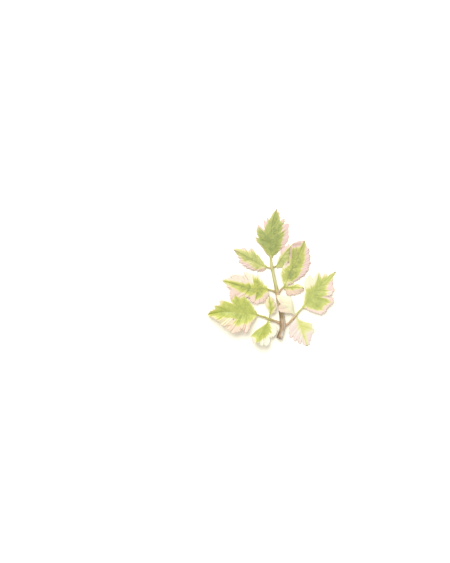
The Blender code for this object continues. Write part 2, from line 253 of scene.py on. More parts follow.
print("a sleeve of 3 rings of 8 points has", sum(map(len, sleeve_faces(3, 8))), "faces")

# %% [markdown]
# A leaflet grows along its veins: each side vein leaves the midrib and runs out to the
# edge, and a tooth is where a vein reaches further than its neighbours. So the blade is
# a function of two numbers: which vein, from 0 at the base to 1 at the tip, and how far
# along it. The veins turn from backwards at the base to forwards at the tip, and never
# cross, so the blade can't fold over itself, however deep its notches are.

# %% Veins of a leaflet
BASE_LEAN = 150.0
TIP_LEAN = 18.0
VEIN_SPREAD = 1.5
VEIN_SAMPLES = 801
LEAST_STEP = 0.01


def share_along(points):
    """Each point's share of the length of a line of straight runs."""
    run = np.concatenate(([0.0], np.cumsum(np.linalg.norm(np.diff(points, axis=0), axis=1))))
    return run / run[-1]


def places_at(wanted, known, points):
    """Places at the wanted values on a line whose points have the known values."""
    return np.stack([np.interp(wanted, known, column) for column in points.T], axis=-1)


def vein_starts(veins, midrib):
    """Where the veins leave the midrib. Near the base they leave close together."""
    return places_at(veins**VEIN_SPREAD, share_along(midrib), midrib)


def vein_lean(veins):
    """Degrees between a vein and the midrib. They fall as one minus the vein, squared."""
    return TIP_LEAN + (BASE_LEAN - TIP_LEAN) * (1 - veins) ** 2


def vein_ways(veins, midrib, side):
    """Unit directions of the veins: the midrib's heading, turned by the vein's lean."""
    forward = midrib[-1] - midrib[0]
    angle = np.arctan2(forward[1], forward[0]) + side * np.radians(vein_lean(veins))
    return np.stack([np.cos(angle), np.sin(angle)], axis=-1)


def veins_through(points, midrib, side):
    """The vein that passes through each point, and the length from midrib to point.

    The side on which a point lies of a vein changes once as the vein number grows, and
    the number where it changes is read off between two samples. Each point's number is
    then at least LEAST_STEP above that of the point before it.
    """
    samples = np.linspace(0, 1, VEIN_SAMPLES)
    offset = points[:, None] - vein_starts(samples, midrib)
    ways = vein_ways(samples, midrib, side)
    ahead = side * (offset[..., 0] * ways[:, 1] - offset[..., 1] * ways[:, 0])
    after = np.maximum(np.argmax(ahead <= 0, axis=1), 1)
    pick = np.arange(len(points))
    high, low = ahead[pick, after - 1], ahead[pick, after]
    veins = samples[after - 1] + high / (high - low) * samples[1]
    apart = LEAST_STEP * np.arange(len(veins))
    veins = np.maximum.accumulate(veins - apart) + apart
    return veins, np.linalg.norm(points - vein_starts(veins, midrib), axis=1)


print("veins lean from", BASE_LEAN, "degrees at the base to", TIP_LEAN, "at the tip")

# %% [markdown]
# The outlines are drawn in plan, in millimetres from the middle of the sprig, from each
# leaflet's base to its tip. Left and right are as seen from the base.
#
# - left and right list tooth tips and the notches between them. green_left and
#   green_right show where the green heart of the leaflet ends.
# - heights are the underside's height at the base, how far it arches up in between, and
#   its height at the tip. lifts raise or lower the left and the right edge.
# - teeth are the depths of the small teeth on the left and right, and their length.
# - blush says how pink the pale margin is on the left and right, from base to tip.
# - scars are small brown spots: x, y and size. One, in a curled notch, is a painted
#   shadow. creases are short brown lines: two ends and a width. Some are creases and
#   some are painted shade along shaded edges and folds. streaks are lines where cream
#   runs into the green, with a depth as well.
#
# The top three come first. The terminal leaflet is the deepest green and deeply notched.
# The right one of the pair below it lies partly under the next leaflet down.

# %% Shapes of the top three leaflets
LEAFLETS = {}
LEAFLETS["terminal_leaflet"] = dict(
    midrib=[(-0.5, 11.9), (-0.5, 15.9), (-0.6, 20.0), (0.0, 28.7), (1.7, 36.2), (3.0, 39.8)],
    left=[
        (-1.7, 12.6), (-3.5, 14.2), (-4.9, 16.5), (-6.7, 18.8), (-8.7, 20.8), (-9.5, 23.4),
        (-7.4, 22.7), (-8.6, 25.2), (-8.7, 28.1), (-7.7, 30.8), (-4.2, 26.9), (-4.8, 33.6),
        (-2.9, 32.1), (-2.8, 35.0), (-1.5, 33.6), (-0.7, 34.7), (0.6, 37.1),
    ],
    right=[
        (1.5, 12.6), (3.2, 14.2), (5.2, 16.5), (7.1, 17.6), (8.4, 19.4), (9.6, 21.7),
        (10.0, 23.4), (9.7, 26.3), (9.9, 28.7), (10.0, 31.3), (7.5, 31.0), (7.4, 34.5),
        (4.8, 32.7), (5.0, 35.3), (4.6, 37.4),
    ],
    green_left=[
        (-1.5, 12.7), (-3.3, 14.5), (-6.2, 18.8), (-8.3, 21.2), (-8.7, 23.1), (-7.1, 23.0),
        (-8.3, 25.2), (-8.2, 28.1), (-7.2, 29.4), (-4.1, 26.6), (-3.8, 29.2), (-2.6, 30.8),
        (-1.9, 33.0), (-0.5, 34.9), (1.0, 37.3),
    ],
    green_right=[
        (1.3, 12.7), (4.9, 16.5), (5.8, 18.8), (6.1, 21.7), (7.0, 24.6), (7.8, 27.5), (5.8, 26.9),
        (6.1, 29.8), (7.0, 31.8), (4.6, 32.7), (4.1, 36.8),
    ],
    heights=(0.5, 0.5, 0.0), lifts=([-0.9], [-0.9]), teeth=(0.4, 1.0, 1.9),
    tint="deep",
    blush=([0.7, 0.8, 0.9, 1.0, 1.0, 0.7], [0.5, 0.9, 1.0, 1.0, 0.9, 0.6]),
    scars_and_shadow_spots=[(-9.4, 23.3, 0.7), (2.8, 39.3, 0.7), (5.9, 16.7, 0.35)],
)
LEAFLETS["upper_left_leaflet"] = dict(
    midrib=[(-3.3, 6.1), (-6.7, 7.5), (-13.6, 11.3), (-17.7, 13.6), (-22.3, 16.3)],
    left=[
        (-3.5, 4.8), (-4.9, 3.8), (-6.7, 3.3), (-9.0, 3.4), (-11.3, 3.9), (-13.3, 4.9),
        (-15.7, 6.1), (-17.7, 7.6), (-19.1, 9.0), (-18.4, 10.7), (-19.3, 11.8), (-20.0, 13.2),
        (-21.2, 14.7),
    ],
    right=[
        (-4.4, 8.4), (-5.5, 9.8), (-6.7, 11.4), (-7.8, 13.1), (-9.0, 13.4), (-9.7, 15.0),
        (-10.7, 16.2), (-12.0, 17.1), (-13.5, 14.7), (-15.8, 17.5), (-17.7, 16.6), (-20.0, 16.6),
    ],
    green_left=[
        (-4.4, 6.0), (-5.5, 6.2), (-9.0, 5.2), (-11.3, 6.9), (-13.6, 8.6), (-16.5, 10.1),
        (-18.0, 12.1), (-20.0, 13.3), (-21.3, 14.9),
    ],
    green_right=[
        (-4.3, 8.2), (-6.6, 11.2), (-7.8, 12.9), (-9.3, 14.2), (-10.6, 15.2), (-11.8, 15.4),
        (-13.4, 14.3), (-15.4, 15.2), (-17.6, 15.9), (-20.0, 16.2),
    ],
    heights=(0.6, 0.5, 0.0), lifts=([-0.8], [-0.7]), teeth=(1.1, 1.0, 1.9),
    tint="soft",
    blush=([0.9, 0.8, 0.8, 0.9, 0.8, 0.7], [0.2, 0.4, 0.8, 1.0, 1.0, 0.7]),
    scars_and_shadow_spots=[(-22.2, 16.2, 1.0), (-19.2, 9.0, 0.4)],
    streaks=[(-14.6, 12.8, -9.0, 10.4, 1.0, 1.5), (-14.0, 9.6, -7.0, 6.8, 0.8, 1.2)],
    creases_and_shadow_lines=[
        (-14.8, 5.7, -11.9, 4.4, 0.4), (-11.9, 4.4, -8.4, 3.7, 0.4), (-8.4, 3.7, -3.9, 5.2, 0.35),
        (-21.6, 15.7, -19.6, 14.6, 0.7),
    ],
)
LEAFLETS["upper_right_leaflet"] = dict(
    midrib=[(2.6, 6.6), (6.7, 12.4), (10.2, 16.5), (12.8, 20.0)],
    left=[
        (3.2, 8.1), (3.8, 10.1), (4.5, 12.1), (4.9, 13.6), (5.1, 15.3), (5.8, 16.9), (8.4, 18.2),
        (9.9, 19.3), (11.0, 18.8),
    ],
    right=[
        (4.4, 5.6), (6.1, 5.7), (8.4, 6.3), (10.7, 7.8), (12.5, 10.4), (11.9, 11.8), (14.2, 14.2),
        (13.3, 15.6), (14.5, 17.6),
    ],
    green_left=[
        (3.5, 8.0), (4.6, 11.8), (6.1, 12.3), (7.5, 14.4), (9.0, 16.2), (10.2, 17.2),
        (11.6, 17.6),
    ],
    green_right=[(4.6, 6.2), (8.3, 7.0), (10.4, 8.5), (11.6, 11.0), (13.2, 14.0), (13.5, 17.0)],
    heights=(0.6, -0.1, 0.1), lifts=([-0.3], [-0.2]), teeth=(0.9, 0.6, 1.9),
    tint="soft",
    blush=([0.4, 0.8, 1.0, 0.9, 0.8], [0.2, 0.3, 0.4, 0.4]),
    scars_and_shadow_spots=[(5.6, 16.8, 0.4), (9.8, 19.2, 0.4)],
)
print(len(LEAFLETS), "leaflets are drawn")

# %% [markdown]
# Lower down come the two leaflets of the right middle stalk, a large mottled one and a
# small one below it, and the broad leaflet of the left middle stalk. The large one has a
# crumpled upper left edge, drawn with creases where it lies over its neighbour. Some of
# its brown lines and one brown spot are painted shade, at a curled notch and along its
# lower right edge.

# %% Shapes of the middle leaflets
LEAFLETS["middle_right_leaflet"] = dict(
    midrib=[(7.4, -5.1), (10.7, 3.1), (14.2, 8.9), (17.1, 15.9), (19.1, 21.5)],
    left=[
        (6.8, -3.5), (5.8, -0.9), (5.1, 1.4), (5.8, 4.3), (6.4, 5.7), (7.0, 7.2), (8.4, 8.9),
        (9.7, 8.9), (10.2, 11.8), (10.7, 14.2), (10.8, 17.1), (11.6, 18.8), (12.5, 19.7),
        (13.6, 20.5), (15.4, 21.0), (17.1, 21.2),
    ],
    right=[
        (10.2, -4.4), (12.5, -3.0), (14.8, -1.5), (17.1, -0.1), (19.1, 1.4), (20.6, 3.4),
        (21.2, 4.3), (22.2, 8.1), (22.2, 12.8), (21.5, 16.5), (19.7, 19.4),
    ],
    green_left=[
        (6.8, -3.3), (6.2, -0.4), (6.0, 2.6), (6.7, 5.6), (9.0, 8.0), (10.6, 8.9), (11.6, 11.3),
        (11.5, 14.7), (11.9, 17.1), (13.1, 17.1), (14.8, 17.5), (16.5, 17.9), (18.0, 20.0),
    ],
    green_right=[
        (9.8, -4.3), (12.3, -2.7), (15.0, -0.9), (16.9, 0.6), (16.8, 2.5), (17.1, 4.5),
        (18.0, 7.8), (19.1, 10.1), (19.0, 13.0), (19.2, 16.0), (19.3, 18.8), (19.3, 20.8),
    ],
    heights=(1.2, -0.2, 1.0), lifts=([0.3], [-0.5]), teeth=(0.6, 1.2, 2.2),
    tint="mottled",
    blush=([0.0, 0.0, 0.1, 0.7, 0.9, 1.0, 1.0], [0.3, 0.8, 1.0, 1.0, 0.9, 0.8]),
    # The first spot is a painted shadow in a curled notch.
    scars_and_shadow_spots=[
        (9.7, 8.9, 0.8), (19.0, 21.2, 0.8), (21.5, 16.4, 0.45), (22.1, 12.8, 0.4),
        (22.1, 8.1, 0.4), (20.3, 3.6, 0.4),
    ],
    streaks=[
        (7.4, 6.8, 9.2, 8.0, 1.1, 3.0), (16.2, 19.4, 13.0, 18.4, 1.0, 2.0),
        (7.4, 1.0, 7.6, 6.0, 0.9, 1.0), (9.4, -2.4, 10.6, 4.4, 2.0, 2.6),
        (13.2, -1.8, 17.2, 1.6, 1.2, 1.6),
    ],
    # The first two lines, by a curled notch, and the third, along the lower right edge, are painted shade.
    creases_and_shadow_lines=[
        (10.2, 11.4, 9.9, 9.2, 0.8), (9.9, 9.2, 8.4, 7.4, 0.7), (14.4, -1.9, 20.2, 2.2, 0.5),
        (11.2, 17.2, 10.9, 12.0, 0.8), (12.6, 18.9, 16.6, 19.4, 0.9),
        (14.1, 18.6, 13.9, 12.6, 0.35),
    ],
)
LEAFLETS["middle_right_small_leaflet"] = dict(
    midrib=[(7.4, -5.7), (10.7, -6.1), (14.8, -5.9), (18.9, -6.1)],
    left=[(9.6, -5.4), (11.9, -4.4), (15.3, -3.6), (16.5, -4.4), (17.7, -4.9)],
    right=[
        (7.3, -7.0), (8.1, -7.9), (8.2, -9.3), (9.3, -10.4), (11.9, -10.2), (14.5, -10.0),
        (16.0, -9.3), (17.7, -8.5), (18.6, -7.6),
    ],
    green_left=[(9.0, -5.5), (12.0, -4.9), (15.0, -4.6), (16.5, -5.4)],
    green_right=[(9.4, -6.3), (11.5, -6.8), (14.5, -6.6), (16.2, -6.3)],
    heights=(1.1, -0.5, 1.3), lifts=([-0.2], [-0.3]), teeth=(0.6, 1.0, 1.8),
    tint="fresh",
    blush=([0.2, 0.4, 0.6], [1.0, 0.8, 0.9, 0.8]),
    scars_and_shadow_spots=[(18.6, -6.1, 0.8)],
)
LEAFLETS["middle_left_leaflet"] = dict(
    midrib=[
        (-3.2, -6.5), (-7.8, -6.6), (-12.5, -6.4), (-18.3, -5.0), (-24.1, -3.2), (-28.8, -1.8),
    ],
    left=[
        (-1.5, -9.2), (-1.7, -10.2), (-2.7, -12.2), (-4.8, -14.6), (-7.3, -14.8), (-10.2, -15.3),
        (-12.8, -12.2), (-14.2, -11.4), (-16.5, -12.2), (-19.4, -13.4), (-21.2, -12.2),
        (-23.8, -12.8), (-24.5, -10.8), (-24.2, -8.2), (-24.4, -6.4), (-25.5, -6.1),
        (-26.1, -4.7), (-27.3, -3.2),
    ],
    right=[
        (-4.4, -4.1), (-5.5, -2.4), (-6.7, -0.6), (-7.5, 1.1), (-8.5, 2.6), (-9.4, 0.8),
        (-10.4, 1.4), (-12.5, 2.7), (-14.2, 3.0), (-16.1, 2.7), (-17.4, 0.8), (-19.4, 1.8),
        (-21.2, 1.8), (-22.6, 1.1), (-24.1, 0.6), (-25.8, -0.6), (-27.6, -0.9),
    ],
    green_left=[
        (-3.3, -8.0), (-4.6, -9.0), (-6.1, -10.8), (-7.8, -11.9), (-9.7, -13.0), (-9.6, -9.3),
        (-11.3, -10.4), (-13.1, -10.7), (-15.1, -9.6), (-16.0, -8.8), (-19.4, -7.6),
        (-21.8, -6.1), (-24.1, -4.7), (-27.0, -3.0),
    ],
    green_right=[
        (-4.9, -4.4), (-6.7, -2.4), (-8.7, -0.6), (-11.3, -0.1), (-10.2, -3.8), (-12.5, -4.4),
        (-13.9, -3.4), (-15.4, -4.1), (-18.3, -3.2), (-21.2, -2.6), (-24.1, -1.8), (-27.0, -1.5),
    ],
    heights=(1.0, 0.3, 0.0), lifts=([0.3, 0.4, 0.2], [-0.4]), teeth=(1.5, 1.9, 2.3),
    tint="olive",
    blush=([0.7, 0.9, 1.0, 0.9, 1.0, 0.9, 0.6], [0.1, 0.1, 0.2, 0.5, 0.6, 0.8, 0.5]),
    scars_and_shadow_spots=[(-28.6, -1.8, 0.5), (-25.8, -5.9, 0.45)],
    creases_and_shadow_lines=[
        (-17.4, 1.6, -15.6, -1.2, 0.3), (-15.4, 1.2, -13.6, -1.4, 0.3),
        (-24.4, 0.7, -23.2, -0.3, 0.35), (-16.4, -10.2, -17.6, -12.2, 0.5),
        (-13.1, -10.6, -12.8, -12.6, 0.4), (-7.0, -12.4, -7.0, -14.8, 0.25),
        (-4.7, -12.4, -4.7, -14.4, 0.25),
    ],
)
print(len(LEAFLETS), "leaflets are drawn")

# %% [markdown]
# The lower left stalk carries three. The end leaflet is the largest of the sprig and is
# lifted along its lower edge, so it throws a soft shadow. Two small ones grow where the
# stalk forks: one points up, and one points down and lifts off the table at its far end.

# %% Shapes of the lower left leaflets
LEAFLETS["lower_left_end_leaflet"] = dict(
    midrib=[
        (-9.2, -21.6), (-13.6, -20.6), (-18.3, -20.0), (-24.1, -19.8), (-29.9, -20.2),
        (-37.2, -21.4),
    ],
    left=[
        (-10.4, -24.4), (-11.4, -25.9), (-12.5, -27.6), (-13.3, -29.9), (-14.2, -31.4),
        (-16.0, -31.7), (-17.4, -29.6), (-19.4, -31.5), (-21.8, -31.7), (-23.5, -31.1),
        (-25.3, -30.5), (-27.0, -28.5), (-29.0, -27.6), (-30.5, -25.6), (-31.9, -24.9),
        (-32.8, -23.8), (-34.8, -23.4), (-36.3, -22.7),
    ],
    right=[
        (-9.8, -18.7), (-11.3, -16.1), (-13.1, -13.4), (-14.8, -11.4), (-16.4, -10.2),
        (-18.9, -11.7), (-21.3, -9.9), (-23.2, -13.1), (-23.0, -15.0), (-26.4, -13.7),
        (-28.7, -13.2), (-30.7, -13.8), (-29.6, -16.3), (-33.2, -16.1), (-32.5, -17.9),
        (-33.9, -18.6), (-35.7, -19.7),
    ],
    green_left=[
        (-10.6, -23.5), (-12.0, -24.7), (-13.6, -25.6), (-16.0, -26.2), (-18.3, -27.0),
        (-20.6, -27.6), (-22.0, -26.7), (-22.3, -25.0), (-25.2, -24.1), (-27.6, -24.7),
        (-29.3, -24.4), (-31.0, -23.8), (-32.8, -22.9), (-35.7, -22.4),
    ],
    green_right=[
        (-10.0, -19.1), (-11.5, -16.5), (-13.4, -13.8), (-15.0, -12.0), (-16.3, -11.2),
        (-18.8, -12.1), (-21.1, -10.6), (-22.8, -13.2), (-22.8, -15.2), (-26.3, -14.2),
        (-29.0, -14.3), (-29.3, -16.6), (-32.2, -16.8), (-32.2, -18.2), (-35.0, -20.0),
    ],
    heights=(1.4, 1.5, 0.0), lifts=([2.6, 3.4, 3.4, 2.4, 1.0], [0.4]), teeth=(1.6, 1.0, 2.3),
    tint="bright",
    blush=([0.4, 0.6, 0.9, 0.8, 0.4, 0.3, 0.4, 0.3], [0.2, 0.2, 0.4, 0.5, 0.8, 0.9, 0.4]),
    scars_and_shadow_spots=[(-37.1, -21.4, 0.6), (-22.1, -24.1, 0.6), (-25.6, -28.8, 0.3)],
    streaks=[
        (-28.0, -23.6, -22.4, -24.4, 1.0, 2.4), (-22.4, -24.5, -17.2, -24.2, 0.7, 2.6),
        (-34.0, -21.8, -26.0, -22.6, 0.9, 1.2), (-26.6, -16.4, -24.6, -17.8, 0.7, 2.0),
    ],
    # The first line is painted shade where two lobes overlap.
    creases_and_shadow_lines=[(-27.8, -28.3, -23.4, -27.5, 0.4), (-18.2, -29.7, -16.6, -31.2, 0.7)],
)
LEAFLETS["lower_left_upper_leaflet"] = dict(
    midrib=[(-1.4, -24.0), (-0.9, -21.5), (-0.4, -18.3), (-1.0, -15.4), (-1.3, -10.6)],
    left=[
        (-1.4, -21.4), (-1.7, -19.2), (-2.6, -17.5), (-4.1, -16.6), (-4.4, -15.1), (-3.5, -13.4),
        (-2.4, -11.7),
    ],
    right=[
        (-0.5, -21.4), (0.8, -20.9), (2.3, -19.8), (2.8, -18.3), (2.9, -16.0), (1.5, -14.3),
        (1.3, -12.5), (0.3, -11.4),
    ],
    green_left=[
        (-1.2, -20.8), (-1.2, -19.0), (-1.8, -17.4), (-1.4, -15.6), (-1.9, -14.0), (-1.4, -12.0),
    ],
    green_right=[(-0.2, -20.8), (0.4, -19.2), (1.4, -17.6), (0.2, -16.4), (0.6, -14.6), (-0.8, -12.8)],
    heights=(1.2, 0.8, 2.6), lifts=([0.0], [0.0]), teeth=(0.8, 1.0, 1.7),
    tint="fresh",
    blush=([0.2, 0.3, 0.3, 0.5], [0.4, 0.5, 0.6, 0.5]),
    scars_and_shadow_spots=[],
)
LEAFLETS["lower_left_base_leaflet"] = dict(
    midrib=[(-1.6, -24.5), (-3.8, -28.8), (-6.7, -32.8), (-9.2, -37.8)],
    left=[
        (-0.3, -26.5), (2.0, -27.0), (3.2, -27.9), (3.3, -30.5), (2.8, -32.8), (0.6, -34.3),
        (-1.2, -35.1), (-1.5, -38.2), (-2.7, -39.6), (-4.4, -38.6), (-6.1, -39.7), (-7.5, -37.8),
    ],
    right=[
        (-3.1, -26.4), (-5.5, -28.2), (-7.8, -29.6), (-9.9, -31.1), (-12.2, -34.0),
        (-11.4, -36.3), (-10.7, -38.5), (-10.0, -37.5),
    ],
    green_left=[
        (-1.3, -26.6), (-1.0, -27.6), (-0.9, -29.9), (-0.1, -32.2), (-1.7, -32.8), (-2.6, -34.6),
        (-4.1, -34.6), (-4.9, -35.7), (-6.7, -36.6), (-8.1, -37.5),
    ],
    green_right=[
        (-3.2, -26.6), (-5.5, -28.3), (-7.8, -29.8), (-10.0, -31.3), (-12.1, -34.1),
        (-10.2, -34.6), (-9.4, -35.4), (-9.4, -37.5),
    ],
    heights=(0.7, -0.2, 6.0), lifts=([0.0, 0.8, 2.6, 2.8], [0.3]), teeth=(1.1, 0.6, 2.3),
    tint="lime",
    blush=([0.0, 0.0, 0.1, 0.1, 0.3], [0.1, 0.3, 0.9, 1.0]),
    scars_and_shadow_spots=[],
)
print(len(LEAFLETS), "leaflets are drawn")

# %% [markdown]
# The lower right stalk carries three as well: a large one at its end, a pale pink one
# that points down, and a cream one that lies across the main stem.

# %% Shapes of the lower right leaflets
LEAFLETS["lower_right_end_leaflet"] = dict(
    midrib=[(18.0, -17.2), (22.3, -11.4), (28.1, -5.0), (32.8, -0.6), (37.3, 3.5)],
    left=[
        (18.6, -14.8), (19.1, -11.9), (19.3, -9.0), (19.7, -7.3), (19.1, -4.4), (19.0, -2.7),
        (19.7, -0.9), (22.1, 1.7), (23.3, 0.5), (23.7, -2.1), (25.5, 1.7), (27.7, 3.5),
        (28.6, -0.1), (31.1, 2.8), (32.5, 0.6), (33.9, 2.0), (35.7, 3.1),
    ],
    right=[
        (19.4, -18.0), (21.2, -18.8), (23.5, -19.8), (25.8, -20.5), (28.1, -21.2), (29.9, -20.9),
        (31.3, -19.8), (32.7, -17.1), (35.1, -15.0), (35.7, -13.1), (36.0, -11.8), (29.9, -11.4),
        (33.6, -10.5), (35.1, -9.3), (36.3, -7.3), (36.1, -5.6), (34.8, -4.1), (35.7, -3.2),
        (35.1, -1.8), (35.7, 0.2), (36.8, 2.0),
    ],
    green_left=[
        (19.1, -16.0), (19.4, -13.1), (19.7, -10.2), (20.3, -7.3), (21.2, -6.1), (22.6, -6.1),
        (23.8, -5.0), (25.2, -4.1), (26.4, -2.1), (26.7, 0.2), (27.6, 1.7), (28.1, -0.1),
        (29.9, -0.6), (31.3, 0.8), (32.5, 0.2), (33.9, 1.7),
    ],
    green_right=[
        (20.0, -16.6), (23.5, -17.7), (26.4, -18.7), (29.0, -18.6), (29.6, -17.2), (30.5, -16.0),
        (32.2, -14.8), (33.6, -13.4), (32.8, -12.2), (28.7, -11.4), (31.9, -9.9), (31.9, -7.3),
        (31.6, -5.0), (32.2, -3.5), (34.2, -2.1), (35.1, -0.3),
    ],
    heights=(1.2, 0.1, 0.0), lifts=([-0.3], [0.9, 0.6, -0.3, -0.3]), teeth=(0.8, 0.9, 2.0),
    tint="light",
    blush=([0.3, 0.3, 0.1, 0.0, 0.5, 0.9, 0.6], [0.7, 0.9, 0.8, 0.7, 0.9, 0.8, 0.5]),
    scars_and_shadow_spots=[(36.9, 3.1, 0.8)],
)
LEAFLETS["lower_right_base_leaflet"] = dict(
    midrib=[(14.0, -22.2), (16.0, -26.4), (18.0, -32.2), (20.6, -39.8)],
    left=[
        (15.2, -23.9), (16.5, -24.5), (18.3, -25.3), (19.6, -26.0), (21.8, -26.2), (23.8, -26.7),
        (23.1, -28.2), (24.5, -29.6), (25.1, -31.4), (23.9, -32.4), (23.2, -34.0), (23.1, -36.0),
        (22.1, -37.4), (22.2, -38.8),
    ],
    right=[
        (13.3, -24.4), (11.9, -26.2), (10.7, -27.9), (10.1, -29.4), (9.9, -31.7), (10.3, -34.5),
        (11.3, -35.3), (12.1, -33.4), (12.5, -36.2), (13.6, -37.3), (14.6, -35.8), (15.5, -38.2),
        (16.8, -38.8), (17.6, -37.2), (18.4, -39.2), (19.4, -39.6),
    ],
    green_left=[
        (15.6, -24.2), (16.5, -24.9), (18.6, -25.8), (21.8, -26.8), (22.8, -28.6), (23.2, -30.2),
        (21.8, -31.4), (20.0, -31.8), (19.7, -33.4), (20.2, -35.4), (20.6, -38.0),
    ],
    green_right=[
        (14.8, -24.9), (15.3, -27.0), (15.6, -29.1), (16.8, -30.2), (17.1, -32.2), (18.2, -34.2),
        (19.1, -36.0), (19.9, -38.2),
    ],
    heights=(0.9, 0.1, 0.0), lifts=([-0.4], [-0.4]), teeth=(0.5, 0.5, 1.7),
    tint="pale",
    blush=([0.2, 0.3, 0.6, 0.9, 0.9], [0.8, 0.7, 0.7, 0.7, 0.8]),
    scars_and_shadow_spots=[(20.5, -39.6, 0.5)],
)
LEAFLETS["lower_right_inner_leaflet"] = dict(
    midrib=[(13.5, -21.6), (10.2, -16.6), (6.1, -12.8), (2.6, -10.0)],
    left=[
        (11.3, -20.6), (9.0, -20.6), (7.3, -20.4), (4.9, -20.1), (3.4, -18.3), (3.8, -16.9),
        (5.2, -15.4), (3.9, -14.3), (3.2, -12.6), (2.7, -11.2),
    ],
    right=[
        (12.7, -19.6), (12.5, -17.7), (12.2, -14.8), (11.3, -11.9), (10.7, -11.1), (9.0, -10.8),
        (7.3, -10.6), (4.9, -10.3),
    ],
    green_left=[(11.5, -19.8), (9.6, -18.0), (8.6, -16.6), (7.9, -15.4)],
    green_right=[(12.0, -19.0), (11.2, -17.4), (10.0, -15.6), (8.4, -14.6)],
    heights=(1.2, 1.7, 3.2), lifts=([0.4], [-0.7]), teeth=(0.35, 0.35, 2.4),
    tint="cream",
    blush=([0.5, 0.7, 0.6, 0.4], [0.3, 0.0, 0.1, 0.3]),
    scars_and_shadow_spots=[],
)
print(len(LEAFLETS), "leaflets are drawn")

# %% [markdown]
# Now the mesh of a blade. Each edge point sits on a vein, so an edge is just a reach for
# every vein. Rows of the mesh follow the veins and are spaced evenly along the edge. A
# fine second row of teeth is added to the reach, because a real parsley margin is never
# quite straight.

# %% Rows and reach
SIDES = {"left": 1, "right": -1}
ROW_SPACING = 0.26
NECK = 0.9

# A second tooth rises over this share of its length, and about its mean height is
# taken off, so that the margin keeps its place
TOOTH_BACK = 0.72
TOOTH_MEAN = 0.52

# Slow waves along the edge make the second teeth unequal in length and in depth
LENGTH_WAVE = 0.3
LENGTH_WAVE_RATE = 1.3
LENGTH_WAVE_SHIFT = 0.2
DEPTH_WAVE = 0.35
DEPTH_WAVE_RATE = 0.8
DEPTH_WAVE_SHIFT = 2.0

# The second teeth grow over the first fifth of the veins and fade over the last sixth
GROW_RATE = 5
FADE_RATE = 6

# However deep a gap between teeth is, this share of a reach up to SHORT_REACH is left
LEAST_SHARE = 0.3
SHORT_REACH = 0.1


def on_side(pair, name):
    """The left or the right one of a leaflet's values."""
    return pair[list(SIDES).index(name)]


def between(stops, counts):
    """All stops, with each gap between two of them cut into a number of equal steps."""
    first = np.repeat(stops[:-1], counts)
    step = np.repeat(np.diff(stops) / counts, counts)
    place = np.arange(counts.sum()) - np.repeat(np.cumsum(counts) - counts, counts)
    return np.append(first + place * step, stops[-1])


def line_on_veins(points, midrib, side):
    """A line from base to tip as vein numbers and reaches, with its two ends added."""
    veins, reach = veins_through(np.array(points), midrib, side)
    return np.concatenate(([0.0], veins, [1.0])), np.concatenate(([NECK / 2], reach, [0.0]))


def edge_places(veins, reach, midrib, side):
    """Places at the ends of the veins: where each starts, plus its reach along its way."""
    return vein_starts(veins, midrib) + reach[:, None] * vein_ways(veins, midrib, side)


def row_veins(edges, midrib):
    """Vein numbers of the rows: every edge point, and enough between for ROW_SPACING."""
    stops = np.unique(np.concatenate([veins for veins, _ in edges.values()]))
    lengths = []
    for name, side in SIDES.items():
        places = edge_places(stops, np.interp(stops, *edges[name]), midrib, side)
        lengths.append(np.linalg.norm(np.diff(places, axis=0), axis=1))
    counts = np.maximum(1, np.ceil(np.max(lengths, axis=0) / ROW_SPACING)).astype(int)
    return between(stops, counts)


def fine_reach(veins, edge, midrib, side, depth, length):
    """The reach of every row's vein, with small second teeth that fade at both ends.

    A tooth rises over TOOTH_BACK of its length and falls over the rest, so it points
    forwards. A slow wave in its phase and another in its depth make the teeth unequal.
    """
    reach = np.interp(veins, *edge)
    places = edge_places(veins, reach, midrib, side)
    run = share_along(places) * np.linalg.norm(np.diff(places, axis=0), axis=1).sum()
    wave = LENGTH_WAVE * np.sin(LENGTH_WAVE_RATE * run) + LENGTH_WAVE_SHIFT * side
    phase = (run / length + wave) % 1
    teeth = np.minimum(phase / TOOTH_BACK, (1 - phase) / (1 - TOOTH_BACK)) - TOOTH_MEAN
    fade = np.clip(GROW_RATE * veins, 0, 1) * np.clip(FADE_RATE * (1 - veins), 0, 1)
    unequal = 1 + DEPTH_WAVE * np.sin(DEPTH_WAVE_RATE * run + DEPTH_WAVE_SHIFT * side)
    least = LEAST_SHARE * np.minimum(reach, SHORT_REACH)
    return np.maximum(reach + depth * teeth * fade * unequal, least)


print("blades have a row every", ROW_SPACING, "mm of their edge")

# %% [markdown]
# The height of the blade comes next: an arch along the midrib, a lift or droop towards
# each edge, a ruffle in the margin, and a slight swelling between the veins. The ruffle
# has as many waves as that edge has teeth.

# %% Height of a blade
RUFFLE = 0.16
RUFFLE_PHASE = 2.1
SWELLING = 0.16
SWELLING_START = 1.1
SWELLING_FULLNESS = 0.7


def bell(distance, width):
    """1 on a line and falling away from it: e to the minus square of distance over width."""
    return np.exp(-((distance / width) ** 2))


def spread(values, share):
    """Values spaced evenly from base to tip, read off at a share of the way."""
    return np.interp(share, np.linspace(0, 1, len(values)), values)


def middle_height(heights, lifts, share, across):
    """The arch along the midrib plus the lift towards the edge.

    The lift grows as across squared, and fades out at the base and at the tip.
    """
    base, arch, tip = heights
    line = base * (1 - share) + tip * share + arch * 4 * share * (1 - share)
    return line + spread(lifts, share) * across**2 * (1 - (2 * share - 1) ** 4)


def is_tooth(reach):
    """Which inner points of an edge reach further than both of their neighbours."""
    return (reach[1:-1] > reach[:-2]) & (reach[1:-1] >= reach[2:])


def tooth_veins(edge):
    """The main side veins are those that end at a tooth."""
    veins, reach = edge
    return veins[1:-1][is_tooth(reach)]


